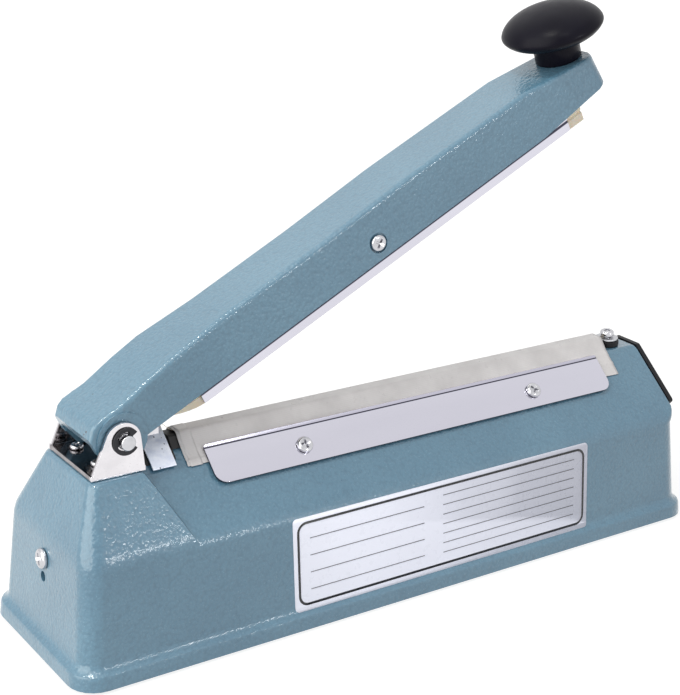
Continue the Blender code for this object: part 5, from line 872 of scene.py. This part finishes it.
def build_cloth(finishes):
    """Coated cloth stretched over the platform, with a folded hem at its left end."""
    tree = tree_of("release_cloth")
    low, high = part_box("release_cloth")
    slope = tan(SLOPE_ANGLE)
    sunk = 0.0002

    def reach_at(x):
        """How far the CAD cloth reaches to each side at x."""
        reach = 0.010
        while tree.ray_cast(Vector((x, reach, high.z + 0.01)), Vector((0, 0, -1)))[0] is not None:
            reach += 0.0001
        return reach - 0.0002

    left_reach = reach_at(low.x + 0.0001)
    right_reach = reach_at(high.x - 0.0001)
    middle_reach = reach_at(0) - 0.001

    def height(y):
        """Height of the CAD cloth's top at its middle, carried on down the slope."""
        inside = min(abs(y), middle_reach)
        hit = tree.ray_cast(Vector((0, inside, high.z + 0.01)), Vector((0, 0, -1)))
        return hit[0].z - (abs(y) - inside) * slope

    def fold(x, y):
        """Soft creases along the cloth, clear of the sealing line."""
        away = abs(y)
        first = 0.0086 + 0.0007 * sin(x * 23 + 0.6)
        second = 0.0128 + 0.0004 * sin(x * 31 + 2.0)
        return (0.00028 * exp(-((away - first) / 0.0011) ** 2)
                + 0.00034 * exp(-((away - second) / 0.0005) ** 2))

    def sheet(name, start, end, lift, columns, rows, extra=0.0):
        """Grid of cloth from start to end along X, lifted off the CAD cloth's top."""
        bm = bmesh.new()
        grid = []
        for i in range(columns + 1):
            x = start + (end - start) * i / columns
            along = (x - low.x) / (high.x - low.x)
            reach = left_reach + (right_reach - left_reach) * along + extra
            line = []
            for j in range(rows + 1):
                share = 2 * j / rows - 1
                y = share * reach
                ripple = 0.00010 * sin(x * 310 + 2.1 * sin(x * 90)) * share * share + fold(x, y)
                line.append(bm.verts.new((x, y, height(y) - sunk + lift + ripple)))
            grid.append(line)
        for first, second in zip(grid, grid[1:]):
            for j in range(rows):
                bm.faces.new((first[j], second[j], second[j + 1], first[j + 1]))
        piece = new_piece(name, bm, finishes["cloth"], "base")
        thick = piece.modifiers.new("thickness", "SOLIDIFY")
        thick.thickness = 0.00013
        thick.offset = 0
        return piece

    cloth = sheet("release_cloth_sheet", low.x, high.x, 0.0, 150, 110)
    hem = sheet("release_cloth_hem", low.x + 0.0012, low.x + 0.0065, 0.00022, 6, 64, 0.0004)
    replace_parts(cloth, "release_cloth")


# Label

# Height above the floor of the lip up to which the front wall is curved
WALL_CURVE_TOP = 0.0135


def wall_sheet(name, outer, hole, lift, finish):
    """Thin sheet on the front wall from outlines in X and Z, cut up where the wall curves."""
    tree = tree_of("base_casting")
    loops = [[Vector((x, z, 0)) for x, z in outer]]
    if hole:
        loops.append([Vector((x, z, 0)) for x, z in hole])
    points = [p for loop in loops for p in loop]
    bm = bmesh.new()
    verts = [bm.verts.new((p.x, 0, p.y)) for p in points]
    for triangle in tessellate_polygon(loops):
        bm.faces.new([verts[i] for i in triangle])
    lowest, highest = min(p.y for p in points), max(p.y for p in points)
    step = 0.001
    level = lowest + step
    while level < min(highest, FLOOR_OF_LIP + WALL_CURVE_TOP):
        geometry = bm.verts[:] + bm.edges[:] + bm.faces[:]
        bmesh.ops.bisect_plane(bm, geom=geometry, plane_co=(0, 0, level), plane_no=(0, 0, 1))
        level += step
    for vert in bm.verts:
        hit = tree.ray_cast(Vector((vert.co.x, -0.2, vert.co.z)), Vector((0, 1, 0)))
        vert.co.y = hit[0].y - lift
    piece = new_piece(name, bm, finish, "base")
    thick = piece.modifiers.new("thickness", "SOLIDIFY")
    thick.thickness = 0.00006
    thick.offset = 0
    return piece


def build_label(finishes):
    """Blank printed sticker: white film, black rounded border and plain ruled lines."""
    left, right = LEFT_END + 0.0982, LEFT_END + 0.2565
    low, high = FLOOR_OF_LIP + 0.0073, FLOOR_OF_LIP + 0.0479
    film_lift, ink_lift = 0.00010, 0.00015
    painted_shade_tone = rounded_box(left, low, right, high, 0.0018)
    wall_sheet("label_film", painted_shade_tone, None, film_lift, finishes["paper"])
    inset, corner, line = 0.0019, 0.0046, 0.00105
    outer = rounded_box(left + inset, low + inset, right - inset, high - inset, corner)
    inset += line
    inner = rounded_box(left + inset, low + inset, right - inset, high - inset, corner - line)
    wall_sheet("label_border", outer, inner, ink_lift, finishes["ink"])
    rules = [(left + 0.008, left + 0.066, low + 0.0085 + 0.0075 * k) for k in range(4)]
    rules += [(left + 0.076, right - 0.008, low + 0.0075 + 0.0044 * k) for k in range(7)]
    for number, (start, end, level) in enumerate(rules):
        outline = rounded_box(start, level, end, level + 0.00035, 0.00012, 2)
        wall_sheet(f"label_rule_{number}", outline, None, ink_lift, finishes["pale ink"])


# Dial of the timer

def panel_point(u, v, out):
    """Point on the panel: u across, v up the wall, out from the wall."""
    return PANEL_FOOT + Vector((0, u, 0)) + WALL_UP * v + WALL_NORMAL * out


def dial_number(label, place, finish):
    """One number of the dial, standing out a little from the panel."""
    text = bpy.data.curves.new(f"dial_number_{label}", "FONT")
    text.body = str(label)
    text.size = 0.0036
    text.extrude = 0.00005
    text.align_x = "CENTER"
    text.align_y = "CENTER"
    flat = bpy.data.objects.new("dial_text", text)
    bpy.context.scene.collection.objects.link(flat)
    mesh = bpy.data.meshes.new_from_object(flat)
    bpy.data.objects.remove(flat, do_unlink=True)
    mesh.materials.append(finish)
    number = bpy.data.objects.new(f"dial_number_{label}", mesh)
    bpy.context.scene.collection.objects.link(number)
    number.matrix_world = place
    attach(number, "base")


def add_mark(bm, outline, place, low, high):
    """Flat printed mark between two heights above a place."""
    add_loft(bm, [[place @ Vector((x, y, z)) for x, y in outline] for z in (low, high)])


def build_dial(finishes):
    """Numbers and ticks round the timer knob, and the knob's pointer line."""
    white = finishes["white mark"]
    across = (0, 1, 0)
    centre, radius, lift = 0.0440, 0.0150, 0.0001
    count, sweep = 8, radians(300)
    for k in range(count):
        turn = sweep * (k / (count - 1) - 0.5)
        middle = panel_point(radius * sin(turn), centre + radius * cos(turn), PANEL_FACE + lift)
        dial_number(k + 1, frame_on(middle, WALL_NORMAL, across), white)
        spin = Matrix.Rotation(-turn, 4, "Z")
        place = frame_on(panel_point(0, centre, PANEL_FACE), WALL_NORMAL, across) @ spin
        tick = rounded_box(-0.0002, 0.0116, 0.0002, 0.0128, 0.0001, 2)
        bm = bmesh.new()
        add_mark(bm, tick, place, 0.00003, 0.00012)
        new_piece(f"dial_tick_{k + 1}", bm, white, "base")
    place = frame_on(TIMER_CENTRE, WALL_NORMAL, across) @ Matrix.Rotation(sweep / 2, 4, "Z")
    pointer = rounded_box(-0.0004, 0.0026, 0.0004, 0.0084, 0.0002, 3)
    bm = bmesh.new()
    add_mark(bm, pointer, place, TIMER_KNOB_TOP - 0.0002, TIMER_KNOB_TOP - 0.00002)
    new_piece("timer_knob_pointer", bm, white, "timer")


# Studio

WHITE_LIGHT = (1, 1, 1)
WARM_LIGHT = (1.0, 0.995, 0.93)
# Name, place, size, power and colour
LAMPS = [
    ("key_left", (-1.35, -0.15, 0.60), 1.6, 20, WARM_LIGHT),
    ("top", (-0.15, 0.25, 1.35), 2.0, 4.5, WARM_LIGHT),
    ("corner_glint", (-0.55, -0.15, 1.35), 0.12, 4.0, WARM_LIGHT),
    ("ridge_glint", (-0.32, -0.74, 1.35), 0.24, 1.1, WHITE_LIGHT),
    ("knee_glint", (0.44, -1.29, 0.51), 0.14, 1.9, WHITE_LIGHT),
    ("fill_right", (0.55, -1.35, 0.55), 1.6, 1.3, WHITE_LIGHT),
]
LAMPS_AIM = Vector((0, 0, 0.09))


def linked(tree, kind, inputs, **settings):
    """New node with outputs linked to its inputs, or with the inputs' own values set."""
    made = tree.nodes.new(kind)
    for key, value in settings.items():
        setattr(made, key, value)
    for key, value in inputs.items():
        if isinstance(value, bpy.types.NodeSocket):
            tree.links.new(value, made.inputs[key])
        else:
            made.inputs[key].default_value = value
    return made


def seen_directly(tree):
    """One where the surface is seen, mirrored or seen through glass, zero where it only lights."""
    rays = tree.nodes.new("ShaderNodeLightPath")
    total = rays.outputs["Is Camera Ray"]
    for name in ("Is Glossy Ray", "Is Transmission Ray"):
        inputs = {0: total, 1: rays.outputs[name]}
        total = linked(tree, "ShaderNodeMath", inputs, operation="MAXIMUM").outputs[0]
    return total


def build_studio():
    """Pale floor with the object's soft shadow, soft lamps and a pale surround."""
    scene = bpy.context.scene
    bm = bmesh.new()
    bmesh.ops.create_grid(bm, x_segments=1, y_segments=1, size=6)
    new_piece("studio_floor", bm, floor_finish(), None)

    world = bpy.data.worlds.new("studio_world")
    scene.world = world
    world.use_nodes = True
    tree = world.node_tree
    inputs = {"Value": seen_directly(tree), "To Min": 0.44, "To Max": 1.0}
    strength = linked(tree, "ShaderNodeMapRange", inputs)
    surround = tree.nodes["Background"]
    surround.inputs["Color"].default_value = (1, 1, 1, 1)
    tree.links.new(strength.outputs["Result"], surround.inputs["Strength"])

    for row in LAMPS:
        lamp(*row)
    scene.view_settings.view_transform = "Standard"


def floor_finish():
    """White floor that mostly glows by itself, so that only a soft shadow darkens it."""
    material = bpy.data.materials.new("studio_floor")
    material.use_nodes = True
    tree = material.node_tree
    tree.nodes.clear()
    matt = linked(tree, "ShaderNodeBsdfDiffuse", {"Color": (0.30, 0.30, 0.30, 1)})
    inputs = {"Value": seen_directly(tree), "To Min": 0.25, "To Max": 0.82}
    near = linked(tree, "ShaderNodeMapRange", inputs)
    place = tree.nodes.new("ShaderNodeTexCoord").outputs["Object"]
    away = linked(tree, "ShaderNodeVectorMath", {0: place}, operation="LENGTH")
    inputs = {"Value": away.outputs["Value"], "From Min": 0.5, "From Max": 1.6,
              "To Min": 1.0, "To Max": 1.25}
    far = linked(tree, "ShaderNodeMapRange", inputs)
    inputs = {0: near.outputs["Result"], 1: far.outputs["Result"]}
    total = linked(tree, "ShaderNodeMath", inputs, operation="MULTIPLY")
    glow = linked(tree, "ShaderNodeEmission", {"Strength": total.outputs[0]})
    both = linked(tree, "ShaderNodeAddShader", {0: matt.outputs[0], 1: glow.outputs[0]})
    linked(tree, "ShaderNodeOutputMaterial", {"Surface": both.outputs[0]})
    return material


def lamp(name, place, size, power, colour):
    """Square soft lamp aimed at the middle of the object."""
    data = bpy.data.lights.new(name, "AREA")
    data.size = size
    data.energy = power
    data.color = colour
    obj = bpy.data.objects.new(name, data)
    bpy.context.scene.collection.objects.link(obj)
    obj.location = place
    aim = LAMPS_AIM - Vector(place)
    obj.rotation_mode = "QUATERNION"
    obj.rotation_quaternion = aim.to_track_quat("-Z", "Y")


def main():
    """Dress the frame and set up the studio."""
    make_camera()
    finishes = make_finishes()
    dress_nodes(finishes)
    build_screws(finishes)
    build_knob(finishes)
    build_spring(finishes)
    build_silicone(finishes)
    build_cloth(finishes)
    build_label(finishes)
    build_dial(finishes)
    build_studio()


main()
